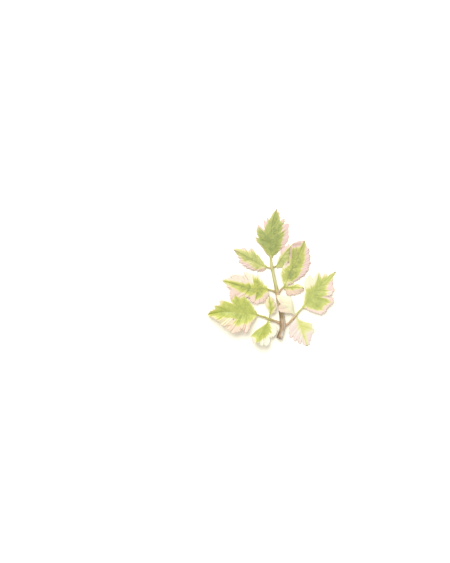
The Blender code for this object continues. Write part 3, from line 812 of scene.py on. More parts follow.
def blade_height(shape, name, veins, across, to_vein, teeth):
    """Middle height, plus the ruffle of the margin and the swelling between the veins."""
    share = (veins**VEIN_SPREAD)[:, None]
    height = middle_height(shape["heights"], on_side(shape["lifts"], name), share, across)
    phase = RUFFLE_PHASE * SIDES[name] + len(shape["left"])
    height = height + RUFFLE * across**3 * np.sin(2 * np.pi * teeth * veins[:, None] + phase)
    rise = SWELLING * (1 - bell(to_vein, SWELLING_START))
    return height + rise * np.sin(np.pi * across) ** SWELLING_FULLNESS


print("a margin ruffles by", RUFFLE, "mm and swells by", SWELLING, "mm between veins")

# %% [markdown]
# One half of a blade is a grid: rows along the midrib, and columns from the midrib out
# to the margin. The columns crowd towards the margin, where the blade is rounded off.
# Besides places and heights, each point learns how far it is from the margin, from the
# nearest vein, from the midrib and from the edge of the green. Colours need all of these.

# %% Two halves of a blade
COLUMNS = 26
COLUMN_CROWDING = 1.5
VEIN_BEND = 0.16
FARTHEST_VEIN = 3.0


def half_plan(shape, name, veins, edge):
    """Where one half lies in plan, the reach of its rows and the share of its columns.

    A point lies at share t of its vein's reach: start + t * reach * way, moved back by
    VEIN_BEND * reach * t * (1 - t), so that veins curve forward as they run out.
    """
    side = SIDES[name]
    midrib = np.array(shape["midrib"])
    depth, length = on_side(shape["teeth"], name), shape["teeth"][-1]
    reach = fine_reach(veins, edge, midrib, side, depth, length)[:, None]
    across = 1 - (1 - np.linspace(0, 1, COLUMNS + 1)) ** COLUMN_CROWDING
    starts, ways = vein_starts(veins, midrib), vein_ways(veins, midrib, side)
    forward = (midrib[-1] - midrib[0]) / np.linalg.norm(midrib[-1] - midrib[0])
    out = (reach * across)[..., None]
    bend = (VEIN_BEND * reach * across * (1 - across))[..., None]
    return starts[:, None] + out * ways[:, None] - bend * forward, reach, across


def gap_to_vein(plan, veins, ways, main_veins):
    """Each point's distance in mm from the nearest main side vein.

    The gap in vein numbers is multiplied by the room that one vein number takes up there,
    square to the vein.
    """
    per_vein = np.gradient(plan, veins, axis=0)
    room = np.abs(per_vein[..., 0] * ways[:, None, 1] - per_vein[..., 1] * ways[:, None, 0])
    gap = np.min(np.abs(veins[:, None] - main_veins), axis=1)
    return gap[:, None] * room


def half_blade(shape, name, veins, edge, green):
    """One half of a blade as arrays of (row, column), the first column on the midrib."""
    plan, reach, across = half_plan(shape, name, veins, edge)
    length = reach * across
    ways = vein_ways(veins, np.array(shape["midrib"]), SIDES[name])
    main_veins = tooth_veins(edge)
    to_vein = gap_to_vein(plan, veins, ways, main_veins)
    everywhere = np.zeros_like(length)
    blush = spread(on_side(shape["blush"], name), veins)
    return dict(
        plan=plan,
        height=blade_height(shape, name, veins, across, to_vein, len(main_veins)),
        rim=reach * (1 - across),
        core=np.interp(veins, *green)[:, None] - length,
        vein=np.minimum(to_vein, FARTHEST_VEIN),
        rib=length * np.sin(np.radians(vein_lean(veins)))[:, None],
        blush=blush[:, None] + everywhere,
        share=(veins**VEIN_SPREAD)[:, None] + everywhere,
        along=veins[:, None] + everywhere,
        across=SIDES[name] * across + everywhere,
    )


def whole_blade(shape):
    """Both halves side by side, from the left margin over the midrib to the right one."""
    midrib = np.array(shape["midrib"])
    edges, greens = {}, {}
    for name, side in SIDES.items():
        edges[name] = line_on_veins(shape[name], midrib, side)
        greens[name] = line_on_veins(shape["green_" + name], midrib, side)
    veins = row_veins(edges, midrib)[:-1]
    left, right = (half_blade(shape, name, veins, edges[name], greens[name]) for name in SIDES)
    return {key: np.concatenate([left[key][:, :0:-1], right[key]], axis=1) for key in left}


blade_rows, blade_columns = whole_blade(LEAFLETS["terminal_leaflet"])["height"].shape
print("the top leaflet is a grid of", blade_rows, "by", blade_columns, "points")

# %% [markdown]
# The blade gets its two faces. The upper face is grooved along the veins, and on the
# lower one they stand out, as does the midrib, which fades towards the tip. Both meet in
# a round rim. Each row of the sleeve runs over the upper face and back under the lower.
# Where the blade would sink into the table it is pressed up softly, so the parts that
# touch lie flat.

# %% Upper and lower face
BLADE_THICKNESS = 0.19
RIM_ROUNDING = 0.14
LEAST_SKIN = 0.4
TABLE_SOFTNESS = 0.12
VEIN_GROOVE = 0.07
VEIN_WIDTH = 0.13
RIB_HEIGHT = 0.55
RIB_WIDTH = 0.34
RIB_GROOVE = 0.06
RIB_GROOVE_WIDTH = 0.2

# Powers by which the midrib falls off towards the tip, and its groove above grows
RIB_FALL = 1.3
RIB_FALL_ABOVE = 3
RIB_GROOVE_GROWTH = 0.3

# Shares of the midrib's height and of the grooves' depth that show on a face
RIB_ABOVE = 0.35
RIB_BELOW = 0.8
GROOVE_BELOW = 0.7


def resting(height):
    """Presses heights softly to stay above the table: half of h plus root of h^2 + s^2."""
    return 0.5 * (height + np.sqrt(height**2 + TABLE_SOFTNESS**2))


def both_faces(blade):
    """Heights of the upper and lower face, from the middle height and the relief.

    Half the thickness falls off within RIM_ROUNDING of the margin as a quarter circle.
    """
    share = blade["share"]
    round_off = np.clip(blade["rim"] / RIM_ROUNDING, 0, 1)
    half = 0.5 * BLADE_THICKNESS * np.sqrt(1 - (1 - round_off) ** 2)
    groove = VEIN_GROOVE * bell(blade["vein"], VEIN_WIDTH) * round_off
    ridge = RIB_HEIGHT * (1 - share) ** RIB_FALL * bell(blade["rib"], RIB_WIDTH)
    sunk = RIB_GROOVE * bell(blade["rib"], RIB_GROOVE_WIDTH) * share**RIB_GROOVE_GROWTH * round_off
    raised = RIB_ABOVE * ridge * (1 - share) ** RIB_FALL_ABOVE
    middle = blade["height"] + 0.5 * BLADE_THICKNESS
    bottom = resting(middle - half - RIB_BELOW * ridge - GROOVE_BELOW * groove)
    lift = resting(blade["height"]) - blade["height"]
    top = middle + lift + half - groove - sunk + raised
    return np.maximum(top, bottom + LEAST_SKIN * half), bottom


def ring_order(upper, lower):
    """A ring over the upper face, left to right, and back under the lower face."""
    return np.concatenate([upper, lower[:, -2:0:-1]], axis=1)


print("a blade is", BLADE_THICKNESS, "mm thick, and its midrib", RIB_HEIGHT, "mm at the base")

# %% [markdown]
# Small marks make a leaf look like one that grew outdoors: a browned tooth, a crease, a
# streak of cream. Some brown lines and one brown spot are painted shade, at a curled
# notch, along shaded edges and between overlapping lobes. Each is a spot or a short line,
# drawn in plan, and every point of the blade keeps its distance from the nearest one. The
# finish turns these into colour.

# %% Marks on a blade
FARTHEST_MARK = 3.0
FARTHEST_TOOTH = 4.0


def line_marks(lines, plan):
    """For each point, its distance from the nearest short line over that line's width.

    A line is (x, y, other x, other y, width). The nearest place on it is its start plus
    a share from 0 to 1 of its run, and the share is the point's own run along the line.
    """
    if not lines:
        return np.full(plan.shape[:-1], FARTHEST_MARK)
    lines = np.array(lines)
    start, run, width = lines[:, :2], lines[:, 2:4] - lines[:, :2], lines[:, 4]
    offset = plan[..., None, :] - start
    share = np.clip((offset * run).sum(-1) / np.maximum((run**2).sum(-1), 1e-6), 0, 1)
    away = np.linalg.norm(offset - share[..., None] * run, axis=-1) / width
    return np.minimum(away.min(axis=-1), FARTHEST_MARK)


def spots_as_lines(spots):
    """Round spots (x, y, size) as lines of no length."""
    return [(x, y, x, y, size) for x, y, size in spots]


def tooth_marks(shape, plan):
    """For each point, its distance in mm from the nearest tooth tip of the outline."""
    tips = [np.array(shape["midrib"][-1:])]
    for name, side in SIDES.items():
        points = np.array(shape[name])
        _, reach = veins_through(points, np.array(shape["midrib"]), side)
        tips.append(points[1:-1][is_tooth(reach)])
    away = np.linalg.norm(plan[..., None, :] - np.vstack(tips), axis=-1)
    return np.minimum(away.min(axis=-1), FARTHEST_TOOTH)


def leaflet_marks(shape, blade):
    """All numbers that the colours of a leaflet need, on the grid of its blade."""
    plan = blade["plan"]
    marks = {key: blade[key] for key in ("rim", "core", "vein", "rib", "blush", "along", "across")}
    marks["scar_and_shadow_spot"] = line_marks(spots_as_lines(shape["scars_and_shadow_spots"]), plan)
    marks["crease_and_shadow"] = line_marks(shape.get("creases_and_shadow_lines"), plan)
    marks["tooth"] = tooth_marks(shape, plan)
    for *line, depth in shape.get("streaks", []):
        marks["core"] = marks["core"] - depth * bell(line_marks([line], plan), 1.0)
    return marks


print(sum(len(shape["scars_and_shadow_spots"]) for shape in LEAFLETS.values()), "brown scars are drawn")

# %% [markdown]
# One function builds a leaflet from all this and puts it on the sprig. It takes the place
# of one node of the imported model, which it hides, and rides on the one body.

# %% One leaflet
SPRIG_MIDDLE = np.mean([corner[:2] for corner in cad_box], axis=0) / MM


def outside_node(plan, node):
    """How far the blade reaches outside its CAD node's box in plan, in mm."""
    low, high = (np.array(corner[:2]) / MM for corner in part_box(node))
    return max((low - plan.min(axis=(0, 1))).max(), (plan.max(axis=(0, 1)) - high).max())


def put_on_sprig(piece, node):
    """Puts a piece in its CAD node's place, which it hides, on the one body."""
    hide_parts(node)
    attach(piece, "root")


def add_leaflet(node, shape, material):
    """Builds one leaflet, places it on its CAD node, and stores what its colours need."""
    blade = whole_blade(shape)
    top, bottom = both_faces(blade)
    plan = blade["plan"] + SPRIG_MIDDLE
    upper = np.concatenate([plan, top[..., None]], axis=-1)
    lower = np.concatenate([plan, bottom[..., None]], axis=-1)
    rings = ring_order(upper, lower)
    tip = np.append(shape["midrib"][-1] + SPRIG_MIDDLE, rings[-1, :, 2].mean())
    piece = add_sleeve("leaf_" + node, rings[0].mean(axis=0), rings, tip, material)
    print(node, "reaches", round(outside_node(plan, node), 2), "mm outside its CAD box")
    for key, values in leaflet_marks(shape, blade).items():
        keep_number(piece, key, values[0].mean(), ring_order(values, values), values[-1].mean())
    keep_number(piece, "upper", 0.5, ring_order(np.ones_like(top), np.zeros_like(bottom)), 0.5)
    put_on_sprig(piece, node)


print("the sprig's middle in mm:", SPRIG_MIDDLE.round(2).tolist())

# %% [markdown]
# The leaflets of a variegated sprig differ. The top ones are the deepest green, the low
# ones fresher, and two at the lower right are nearly all cream. Each kind has six
# colours: two greens, one for the midrib, a yellow halo round the green, cream and pink.
# A number over 255 is for a skin so pale that it still shows white where it turns away.

# %% Colours of the leaflets
HALO = (234, 231, 138)
PALE_HALO = (246, 244, 184)
CREAM = (254, 246, 210)
PINK = (249, 218, 208)
PEACH_CREAM = (253, 241, 198)
PEACH = (249, 220, 196)
ROSE = paint(238, 196, 190)
# Brown of scars, and of one painted shadow in a notch.
BROWN = paint(110, 80, 66)
# Brown of creases, and of painted shade lines along shaded edges and folds.
CREASE_AND_SHADOW_BROWN = paint(204, 172, 146)
UNDERSIDE = paint(214, 220, 168)


def tint_record(light, dark, rib, halo, cream, pink):
    """The colours of one kind of leaflet, from the green heart out to the margin."""
    return dict(
        light=paint(*light), dark=paint(*dark), rib=paint(*rib),
        halo=paint(*halo), cream=paint(*cream), pink=paint(*pink),
    )


TINTS = {
    "deep": tint_record(
        (190, 197, 106), (150, 162, 84), (144, 152, 78), (232, 216, 160), (246, 226, 204), PINK
    ),
    "soft": tint_record((212, 214, 126), (170, 180, 98), (162, 164, 88), HALO, CREAM, PINK),
    "mottled": tint_record((204, 208, 108), (150, 161, 86), (152, 150, 84), HALO, CREAM, PINK),
    "olive": tint_record(
        (210, 212, 100), (150, 162, 78), (146, 155, 76), HALO, (254, 246, 216), (249, 220, 203)
    ),
    "fresh": tint_record((208, 212, 106), (168, 182, 88), (156, 164, 78), HALO, PEACH_CREAM, PEACH),
    "bright": tint_record((212, 216, 108), (178, 189, 92), (164, 172, 84), HALO, PEACH_CREAM, PEACH),
    "light": tint_record((208, 213, 114), (180, 191, 102), (212, 218, 128), HALO, CREAM, PINK),
    "lime": tint_record(
        (210, 213, 102), (168, 181, 76), (178, 188, 86), PALE_HALO, (255, 252, 226), PINK
    ),
    "pale": tint_record(
        (242, 238, 164), (222, 224, 122), (212, 216, 110), PALE_HALO, (257, 250, 228), (254, 232, 222)
    ),
    "cream": tint_record(
        (262, 258, 222), (262, 256, 208), (254, 248, 190), (254, 250, 198), (262, 254, 222), (260, 234, 206)
    ),
}
print(len(TINTS), "kinds of leaflet:", ", ".join(TINTS))

# %% [markdown]
# The finish follows what a variegated leaf does. The green heart breaks up into streaks
# along the veins, passes through yellow-green and cream, and the margin blushes pink.
# Veins are paler, tooth tips are rosy and bruises are brown, and the skin has a fine net
# of small veins that catches the light. Some brown lines and one brown spot are painted
# shade. Two of the clouds are stretched along the veins, and two are not. The masks come
# from the numbers on the points, so the pattern follows the leaf's own growth.

# %% Masks of a leaf
STREAKS_ALONG = 42.0
STREAKS_ACROSS = 2.6
FINE_STREAK_SCALE = 2.6
LEAF_CLOUD_SCALE = 300.0
LEAF_GRAIN_SCALE = 1300.0

# How far the clouds draw the edge of the green in and out, in mm, how far it runs on
# along a vein and by the stalk, and how far it is drawn back everywhere
STREAK_DRAW = 3.4
FINE_STREAK_DRAW = 1.6
CLOUD_DRAW = 0.8
VEIN_DRAW = 0.7
STALK_DRAW = 1.1
DRAWN_BACK = 0.1


def leaf_masks(sheet):
    """The numbers on a leaflet's points, four clouds, and the places that they share."""
    names = (
        "rim", "core", "blush", "vein", "rib", "tooth", "scar_and_shadow_spot", "crease_and_shadow", "upper", "along", "across"
    )
    masks = {name: sheet.attribute(name) for name in names}
    growth = sheet.node(
        "ShaderNodeCombineXYZ", {},
        {"X": masks["along"] * STREAKS_ALONG, "Y": masks["across"] * STREAKS_ACROSS},
        "Vector", wrap=False,
    )
    ground = sheet.places()
    masks["streak"] = sheet.noise(growth, 1.0)
    masks["fine_streak"] = sheet.noise(growth, FINE_STREAK_SCALE)
    masks["cloud"] = sheet.noise(ground, LEAF_CLOUD_SCALE, 3.0)
    masks["grain"] = sheet.noise(ground, LEAF_GRAIN_SCALE)
    return masks, ground


def green_edge(sheet, masks):
    """Distance in mm inside the green: as drawn, and drawn out by clouds and by veins."""
    on_vein = sheet.step(masks["vein"], 0.6, 0.0)
    at_stalk = sheet.step(masks["along"], 0.16, 0.02)
    streaks = (masks["streak"] - 0.5) * STREAK_DRAW
    streaks = streaks + (masks["fine_streak"] - 0.5) * FINE_STREAK_DRAW
    edge = masks["core"] + streaks + (masks["cloud"] - 0.5) * CLOUD_DRAW
    return edge + on_vein * VEIN_DRAW + at_stalk * STALK_DRAW - DRAWN_BACK


print("a leaf has a streak for every", round(1 / STREAKS_ALONG, 3), "of its vein numbers")

# %% [markdown]
# The colours go on in three steps, from the inside out and from new to worn. The last
# step also paints shade into some of its brown lines and spots. Each step mixes one more
# colour in by a mask, so it can be read, and changed, on its own.

# %% Finish of a leaf
NET_SCALE = 900.0
LEAF_BUMP = 0.00005
BLUSH_STREAKS = 1.6
BLUSH_CLOUDS = 0.8
LEAF_ROUGHNESS = 0.42
GRAIN_ROUGHNESS = 0.2


def green_colour(sheet, shades, masks, edge):
    """Light green at the edge of the heart, dark patches within, and pale veins."""
    patches = masks["cloud"] * 0.4 + masks["fine_streak"] * 0.3 + masks["grain"] * 0.3
    to_tip = sheet.step(masks["along"], 0.6, 1.0)
    inner = sheet.step(edge, 0.1, 3.0) * (0.15 + sheet.step(patches, 0.4, 0.6) * 0.95)
    green = sheet.mix(inner * (1 - to_tip * 0.4), shades["light"], shades["dark"])
    green = sheet.mix(sheet.step(masks["vein"], 0.3, 0.05) * 0.3, green, shades["light"])
    return sheet.mix(sheet.step(masks["rib"], 0.4, 0.08) * 0.35, green, shades["rib"])


def margin_colour(sheet, shades, masks, edge, pink):
    """Cream by the green with a halo between, pink streaks further out, rose at the rim."""
    margin = sheet.mix(pink, shades["cream"], shades["pink"])
    at_rim = sheet.step(masks["rim"], 0.6, 0.0) * (0.1 + pink * 0.5)
    margin = sheet.mix(at_rim, margin, ROSE)
    margin = sheet.mix(sheet.step(masks["vein"], 0.4, 0.05) * pink * 0.5, margin, ROSE)
    return sheet.mix(sheet.step(edge, -1.6, -0.1) * 0.8, margin, shades["halo"])


def worn_and_shaded_colour(sheet, colour, masks, pink):
    """Rosy tooth tips, brown creases and scars, some painted shade, over the leaf's own colour."""
    grain = masks["grain"]
    # Brown lines: creases, and some painted shade along shaded edges and folds.
    crease_and_shadow_line = sheet.step(masks["crease_and_shadow"] + (grain - 0.5) * 0.5, 1.3, 0.3)
    colour = sheet.mix(crease_and_shadow_line * 0.6, colour, CREASE_AND_SHADOW_BROWN)
    tips = sheet.step(masks["tooth"], 1.1, 0.1) * sheet.step(grain, 0.3, 0.6)
    colour = sheet.mix(tips * (0.15 + pink * 0.45), colour, ROSE)
    # Brown spots: scars, and one painted shadow in a notch.
    scar_and_shadow_blot = sheet.step(masks["scar_and_shadow_spot"] + (grain - 0.5) * 0.8, 1.2, 0.4)
    return sheet.mix(scar_and_shadow_blot * 0.6, colour, BROWN)


def leaf_finish(tint):
    """Green heart, cream band and pink margin, from the numbers stored on the points."""
    sheet = Sheet("leaf_" + tint)
    shades = TINTS[tint]
    masks, ground = leaf_masks(sheet)
    edge = green_edge(sheet, masks)
    clouds = (masks["fine_streak"] - 0.5) * BLUSH_STREAKS + (masks["cloud"] - 0.5) * BLUSH_CLOUDS
    pink = sheet.step(masks["blush"] + clouds, 0.3, 0.9)
    green = green_colour(sheet, shades, masks, edge)
    margin = margin_colour(sheet, shades, masks, edge, pink)
    colour = worn_and_shaded_colour(sheet, sheet.mix(sheet.step(edge, -0.35, 0.45), margin, green), masks, pink)
    below = sheet.mix(sheet.step(edge, -0.25, 0.35) * 0.6, colour, UNDERSIDE)
    sheet.surface("Base Color", sheet.mix(masks["upper"], below, colour))
    sheet.surface("Roughness", LEAF_ROUGHNESS + masks["grain"] * GRAIN_ROUGHNESS)
    net = sheet.node(
        "ShaderNodeTexVoronoi", {"feature": "DISTANCE_TO_EDGE"},
        {"Vector": ground, "Scale": NET_SCALE}, "Distance",
    )
    sheet.bump(sheet.step(net, 0.0, 0.25) * 0.6 + masks["grain"] * 0.4, LEAF_BUMP)
    return sheet.material


leaf_finishes = {tint: leaf_finish(tint) for tint in TINTS}
print("the deep green finish has", len(leaf_finishes["deep"].node_tree.nodes), "nodes")

# %% [markdown]
# With shapes and finishes ready, the twelve leaflets take one line.

# %% Twelve leaflets
for node, shape in LEAFLETS.items():
    add_leaflet(node, shape, leaf_finishes[shape["tint"]])
print(len(LEAFLETS), "leaflets are in place")

# %% [markdown]
# The stems are round, with the fine ribs that parsley stalks have. A ribbed ring is
# carried along a smooth path, swollen where leaf stalks join, and closed at both ends by
# rings that shrink to a point. The cut end is slightly dished and its pith is paler.

# %% Surface of a stem
STEM_AROUND = 60
RING_SPACING = 0.22
PATH_STEPS = 12
RIB_DEPTH = 0.045
END_LENGTH = 0.1
END_SHARES = (0.97, 0.86, 0.68, 0.45, 0.2)
END_BEVEL = (0.06, END_LENGTH, END_LENGTH, END_LENGTH, END_LENGTH)


def smooth_line(points, steps):
    """A Catmull-Rom curve through the points, with some steps in each span."""
    ends = np.vstack([2 * points[0] - points[1], points, 2 * points[-1] - points[-2]])
    before, start, end, after = ends[:-3], ends[1:-2], ends[2:-1], ends[3:]
    t = (np.arange(steps) / steps)[:, None, None]
    spans = (
        start
        + 0.5 * t * (end - before)
        + t**2 * (before - 2.5 * start + 2 * end - 0.5 * after)
        + t**3 * (1.5 * (start - end) + 0.5 * (after - before))
    )
    return np.vstack([spans.transpose(1, 0, 2).reshape(-1, points.shape[1]), points[-1]])


def ring_angles():
    """The angles round a stem, from 0 at its right side towards its top."""
    return np.linspace(0, 2 * np.pi, STEM_AROUND, endpoint=False)


def stem_rings(path, ribs, lower):
    """Rings along a path of (x, y, z, radius) points, all in mm.

    Each ring is centre + radius * (1 + RIB_DEPTH * cos(ribs * angle)) times the sideways
    and upward directions, turned by the angle.
    """
    line = smooth_line(np.array(path) + [0, 0, lower, 0], PATH_STEPS)
    length = np.linalg.norm(np.diff(line[:, :3], axis=0), axis=1).sum()
    shares = np.linspace(0, 1, int(length / RING_SPACING) + 2)
    line = places_at(shares, share_along(line[:, :3]), line)
    ahead = np.gradient(line[:, :3], axis=0)
    ahead /= np.linalg.norm(ahead, axis=1, keepdims=True)
    sideways = np.cross(ahead, [0, 0, 1])
    sideways /= np.linalg.norm(sideways, axis=1, keepdims=True)
    upward = np.cross(sideways, ahead)
    angle = ring_angles()[None, :, None]
    ribbed = 1 + RIB_DEPTH * np.cos(ribs * angle)
    turned = np.cos(angle) * sideways[:, None] + np.sin(angle) * upward[:, None]
    rings = line[:, None, :3] + line[:, None, 3:] * ribbed * turned
    return rings, line, ahead


def end_rings(ring, centre, ahead, dish):
    """Rings that shrink from the rim of an end to its middle, which is dished inwards.

    The dish deepens towards the middle as one minus the ring's share squared.
    """
    shares = np.array(END_SHARES)[:, None, None]
    depth = dish * (1 - shares**2) - np.array(END_BEVEL)[:, None, None]
    return centre + shares * (ring - centre) + depth * ahead


print("a stem has", STEM_AROUND, "points around it, and a ring every", RING_SPACING, "mm")

# %% [markdown]
# A stem needs three numbers for its colours: how far along it a point is, how far round
# to the right, because the two sides of the bark differ, and whether it is on the cut.

# %% One stem
def add_stem(node, path, ribs, material, dish=0.0, lower=0.0):
    """Builds one stem on its CAD node, with its share of length and its end faces stored."""
    rings, line, ahead = stem_rings(path, ribs, lower)
    first = end_rings(rings[0], line[0, :3], ahead[0], dish)[::-1]
    last = end_rings(rings[-1], line[-1, :3], -ahead[-1], 0.0)
    sleeve = np.concatenate([first, rings, last])
    start = line[0, :3] + (dish - END_LENGTH) * ahead[0]
    end = line[-1, :3] + END_LENGTH * ahead[-1]
    piece = add_sleeve("stem_" + node, start, sleeve, end, material)
    count = len(END_SHARES)
    along = np.pad(share_along(line[:, :3]), count, constant_values=(0.0, 1.0))
    cut = np.arange(len(sleeve)) < count
    keep_number(piece, "along", 0.0, np.repeat(along, STEM_AROUND), 1.0)
    keep_number(piece, "cut", 1.0, np.repeat(cut, STEM_AROUND), 0.0)
    keep_number(piece, "turn", 0.0, np.tile(np.cos(ring_angles()), len(sleeve)), 0.0)
    put_on_sprig(piece, node)


print("each end of a stem closes in", len(END_SHARES), "rings and a point")

# %% [markdown]
# The main stem is woody and brown at the cut end, tan above the first pair of stalks,
# and turns olive and then yellow-green towards the top leaflet. The side stalks start
# brown at the stem and turn green. One finish serves all: a run of colours along the
# stem, with fine lengthwise streaks, a brown side, and a painted highlight down the
# other side and on a patch low down.

# %% Finish of a stem
FLANK_BROWN = paint(112, 92, 52)
# A painted highlight, laid down the right side of a stem and on a patch low down.
PAINTED_HIGHLIGHT_TAN = paint(248, 238, 222)
FIBRE_LIGHT = paint(238, 220, 190)
FIBRE_DARK = paint(128, 98, 62)
PITH = paint(226, 206, 160)
FIBRE_STRETCH = (1400.0, 160.0, 1400.0)
STEM_CLOUD_SCALE = 420.0
STEM_BUMP = 0.00008
STEM_ROUGHNESS = 0.5
CLOUD_ROUGHNESS = 0.2
STOP_SHIFT = 0.12


def sided_colour(sheet, colour, fibre, cloud, sidedness):
    """A brown left side, mostly on the bark, and a painted highlight on the right side and a low patch.

    sidedness is how much the sides of this stem differ, from 0 to 1.
    """
    along, turn = sheet.attribute("along"), sheet.attribute("turn")
    left = sheet.step(turn + (fibre - 0.5) * 0.8, -0.1, -0.8)
    on_bark = 1 - sheet.step(along, 0.28, 0.46) * 0.55
    patchy = 0.35 + sheet.step(cloud, 0.4, 0.6) * 0.65
    colour = sheet.mix(left * sidedness * on_bark * patchy, colour, FLANK_BROWN)
    # Painted highlight down the right side.
    right = sheet.step(turn + (fibre - 0.5) * 0.6, 0.1, 0.9)
    colour = sheet.mix(right * sidedness * 0.55, colour, PAINTED_HIGHLIGHT_TAN)
    # Painted highlight on a patch low down.
    low_down = sheet.step(along, 0.12, 0.08) * sheet.step(along, 0.02, 0.05)
    return sheet.mix(low_down * sheet.step(turn, -0.1, 0.4) * sidedness, colour, PAINTED_HIGHLIGHT_TAN)


def stem_finish(name, stops, sidedness):
    """A run of colours along the stem. stops are (share of the length, colour).

    The cloud shifts each place by up to about a third of STOP_SHIFT, so that no colour
    ends in an even ring.
    """
    sheet = Sheet(name)
    fibre = sheet.noise(sheet.places(FIBRE_STRETCH), 1.0, 3.0)
    cloud = sheet.noise(sheet.places(), STEM_CLOUD_SCALE, 3.0)
    place = sheet.attribute("along") + (cloud - 0.5) * STOP_SHIFT
    colour = stops[0][1]
    for (low, _), (high, shade) in zip(stops, stops[1:]):
        colour = sheet.mix(sheet.step(place, low, high), colour, shade)
    colour = sided_colour(sheet, colour, fibre, cloud, sidedness)
    colour = sheet.mix(sheet.step(fibre, 0.5, 0.72) * 0.45, colour, FIBRE_LIGHT)
    colour = sheet.mix(sheet.step(fibre, 0.5, 0.25) * 0.5, colour, FIBRE_DARK)
    colour = sheet.mix(sheet.step(sheet.attribute("cut"), 0.3, 0.8) * 0.7, colour, PITH)
    sheet.surface("Base Color", colour)
    sheet.surface("Roughness", STEM_ROUGHNESS + cloud * CLOUD_ROUGHNESS)
    sheet.bump(fibre * 0.7 + cloud * 0.3, STEM_BUMP)
    return sheet.material


print("fibres are", round(FIBRE_STRETCH[0] / FIBRE_STRETCH[1], 1), "times as long as wide")

# %% [markdown]
# Three finishes are made from it. Bark is dark at the cut, carries a painted shadow where
# the cream leaflet lies over the stem, and is rosy tan where the middle pair of stalks joins.

# %% Colours of the stems
CUT_BROWN = paint(138, 104, 72)
BARK = paint(190, 160, 124)
# A painted shadow of the cream leaflet, on the stem just below its edge.
PAINTED_SHADOW_BARK = paint(148, 122, 74)
TAN = paint(212, 196, 140)
JOINT_TAN = paint(228, 184, 140)
ORANGE_TAN = paint(220, 186, 134)
RED_BROWN = paint(206, 168, 140)
STALK_BROWN = paint(198, 176, 122)
OLIVE = paint(193, 188, 96)
STALK_GREEN = paint(215, 214, 132)
main_finish = stem_finish(
    "stem_main",
    [
        (0.0, CUT_BROWN), (0.04, BARK), (0.21, BARK), (0.26, PAINTED_SHADOW_BARK), (0.34, PAINTED_SHADOW_BARK),
        (0.4, TAN), (0.47, TAN), (0.5, JOINT_TAN), (0.54, JOINT_TAN), (0.57, OLIVE),
        (0.66, STALK_GREEN),
    ],
    sidedness=0.9,
)
left_finish = stem_finish(
    "stem_left",
    [(0.0, RED_BROWN), (0.3, STALK_BROWN), (0.5, OLIVE)],
    sidedness=0.0,
)
right_finish = stem_finish(
    "stem_right",
    [(0.0, RED_BROWN), (0.3, ORANGE_TAN), (0.5, ORANGE_TAN), (0.62, STALK_GREEN)],
    sidedness=0.2,
)
print("the main stem has", len(main_finish.node_tree.nodes), "nodes in its finish")

# %% [markdown]
# A path is drawn as (x, y, height, radius) points, from the cut end upwards, and a side
# stalk's from inside the main stem outwards. Each one runs on under its leaflet and thins
# out there, so that no end shows.

# %% Stems in place
MAIN_RIBS = 9
STALK_RIBS = 5
CUT_DISH = 0.12
STALK_LOWERED = -0.25
MAIN_STEM = [
    (4.3, -35.5, 1.78, 1.68), (5.5, -32.2, 1.72, 1.62), (6.2, -29.3, 1.74, 1.64),
    (6.3, -26.6, 1.82, 1.72), (6.0, -23.5, 1.6, 1.5), (5.6, -20.1, 1.4, 1.4),
    (4.8, -16.6, 1.3, 1.3), (3.9, -13.1, 1.2, 1.2), (3.3, -9.6, 1.15, 1.16),
    (3.0, -8.0, 1.2, 1.22), (2.6, -5.6, 1.05, 1.04), (1.7, -1.5, 0.97, 0.96),
    (0.9, 2.6, 0.9, 0.88), (0.2, 5.7, 0.92, 0.95), (-0.3, 8.9, 0.75, 0.74),
    (-0.5, 11.8, 0.7, 0.62), (-0.5, 13.4, 0.5, 0.2),
]
STALKS = {
    "lower_left_stalk": (left_finish, [
        (5.7, -26.9, 1.5, 1.0), (4.1, -26.2, 1.45, 0.82), (2.0, -25.3, 1.4, 0.66),
        (-1.6, -24.2, 1.4, 0.7), (-3.8, -23.1, 1.45, 0.58), (-6.7, -22.3, 1.5, 0.54),
        (-9.0, -21.4, 1.5, 0.42), (-10.6, -21.1, 1.5, 0.2),
    ]),
    "lower_right_stalk": (right_finish, [
        (7.0, -28.6, 1.5, 1.0), (8.6, -27.4, 1.45, 0.78), (9.6, -26.7, 1.4, 0.62),
        (11.6, -24.5, 1.4, 0.58), (13.1, -23.0, 1.4, 0.64), (13.9, -22.0, 1.4, 0.66),
        (15.4, -20.1, 1.4, 0.54), (17.8, -17.5, 1.4, 0.46), (19.4, -15.4, 1.4, 0.2),
    ]),
    "middle_left_stalk": (left_finish, [
        (2.8, -8.6, 1.15, 0.72), (1.4, -8.1, 1.1, 0.6), (0.2, -7.6, 1.1, 0.5),
        (-1.4, -7.2, 1.1, 0.46), (-3.2, -6.6, 1.1, 0.4), (-4.8, -6.6, 1.1, 0.2),
    ]),
    "middle_right_stalk": (right_finish, [
        (3.4, -9.2, 1.15, 0.72), (4.7, -8.0, 1.1, 0.56), (5.4, -7.0, 1.15, 0.5),
        (6.2, -6.0, 1.25, 0.5), (7.5, -4.9, 1.35, 0.42), (8.3, -3.0, 1.4, 0.2),
    ]),
    "upper_left_stalk": (left_finish, [
        (0.1, 5.1, 0.85, 0.6), (-1.0, 5.4, 0.8, 0.46), (-2.2, 5.7, 0.8, 0.4),
        (-3.4, 6.1, 0.8, 0.34), (-4.8, 6.7, 0.85, 0.18),
    ]),
    "upper_right_stalk": (left_finish, [
        (0.3, 5.3, 0.85, 0.6), (1.2, 5.9, 0.8, 0.46), (2.0, 6.3, 0.8, 0.4), (3.0, 7.0, 0.8, 0.34),
        (3.9, 8.3, 0.8, 0.18),
    ]),
}
add_stem("main_stem", MAIN_STEM, MAIN_RIBS, main_finish, dish=CUT_DISH)
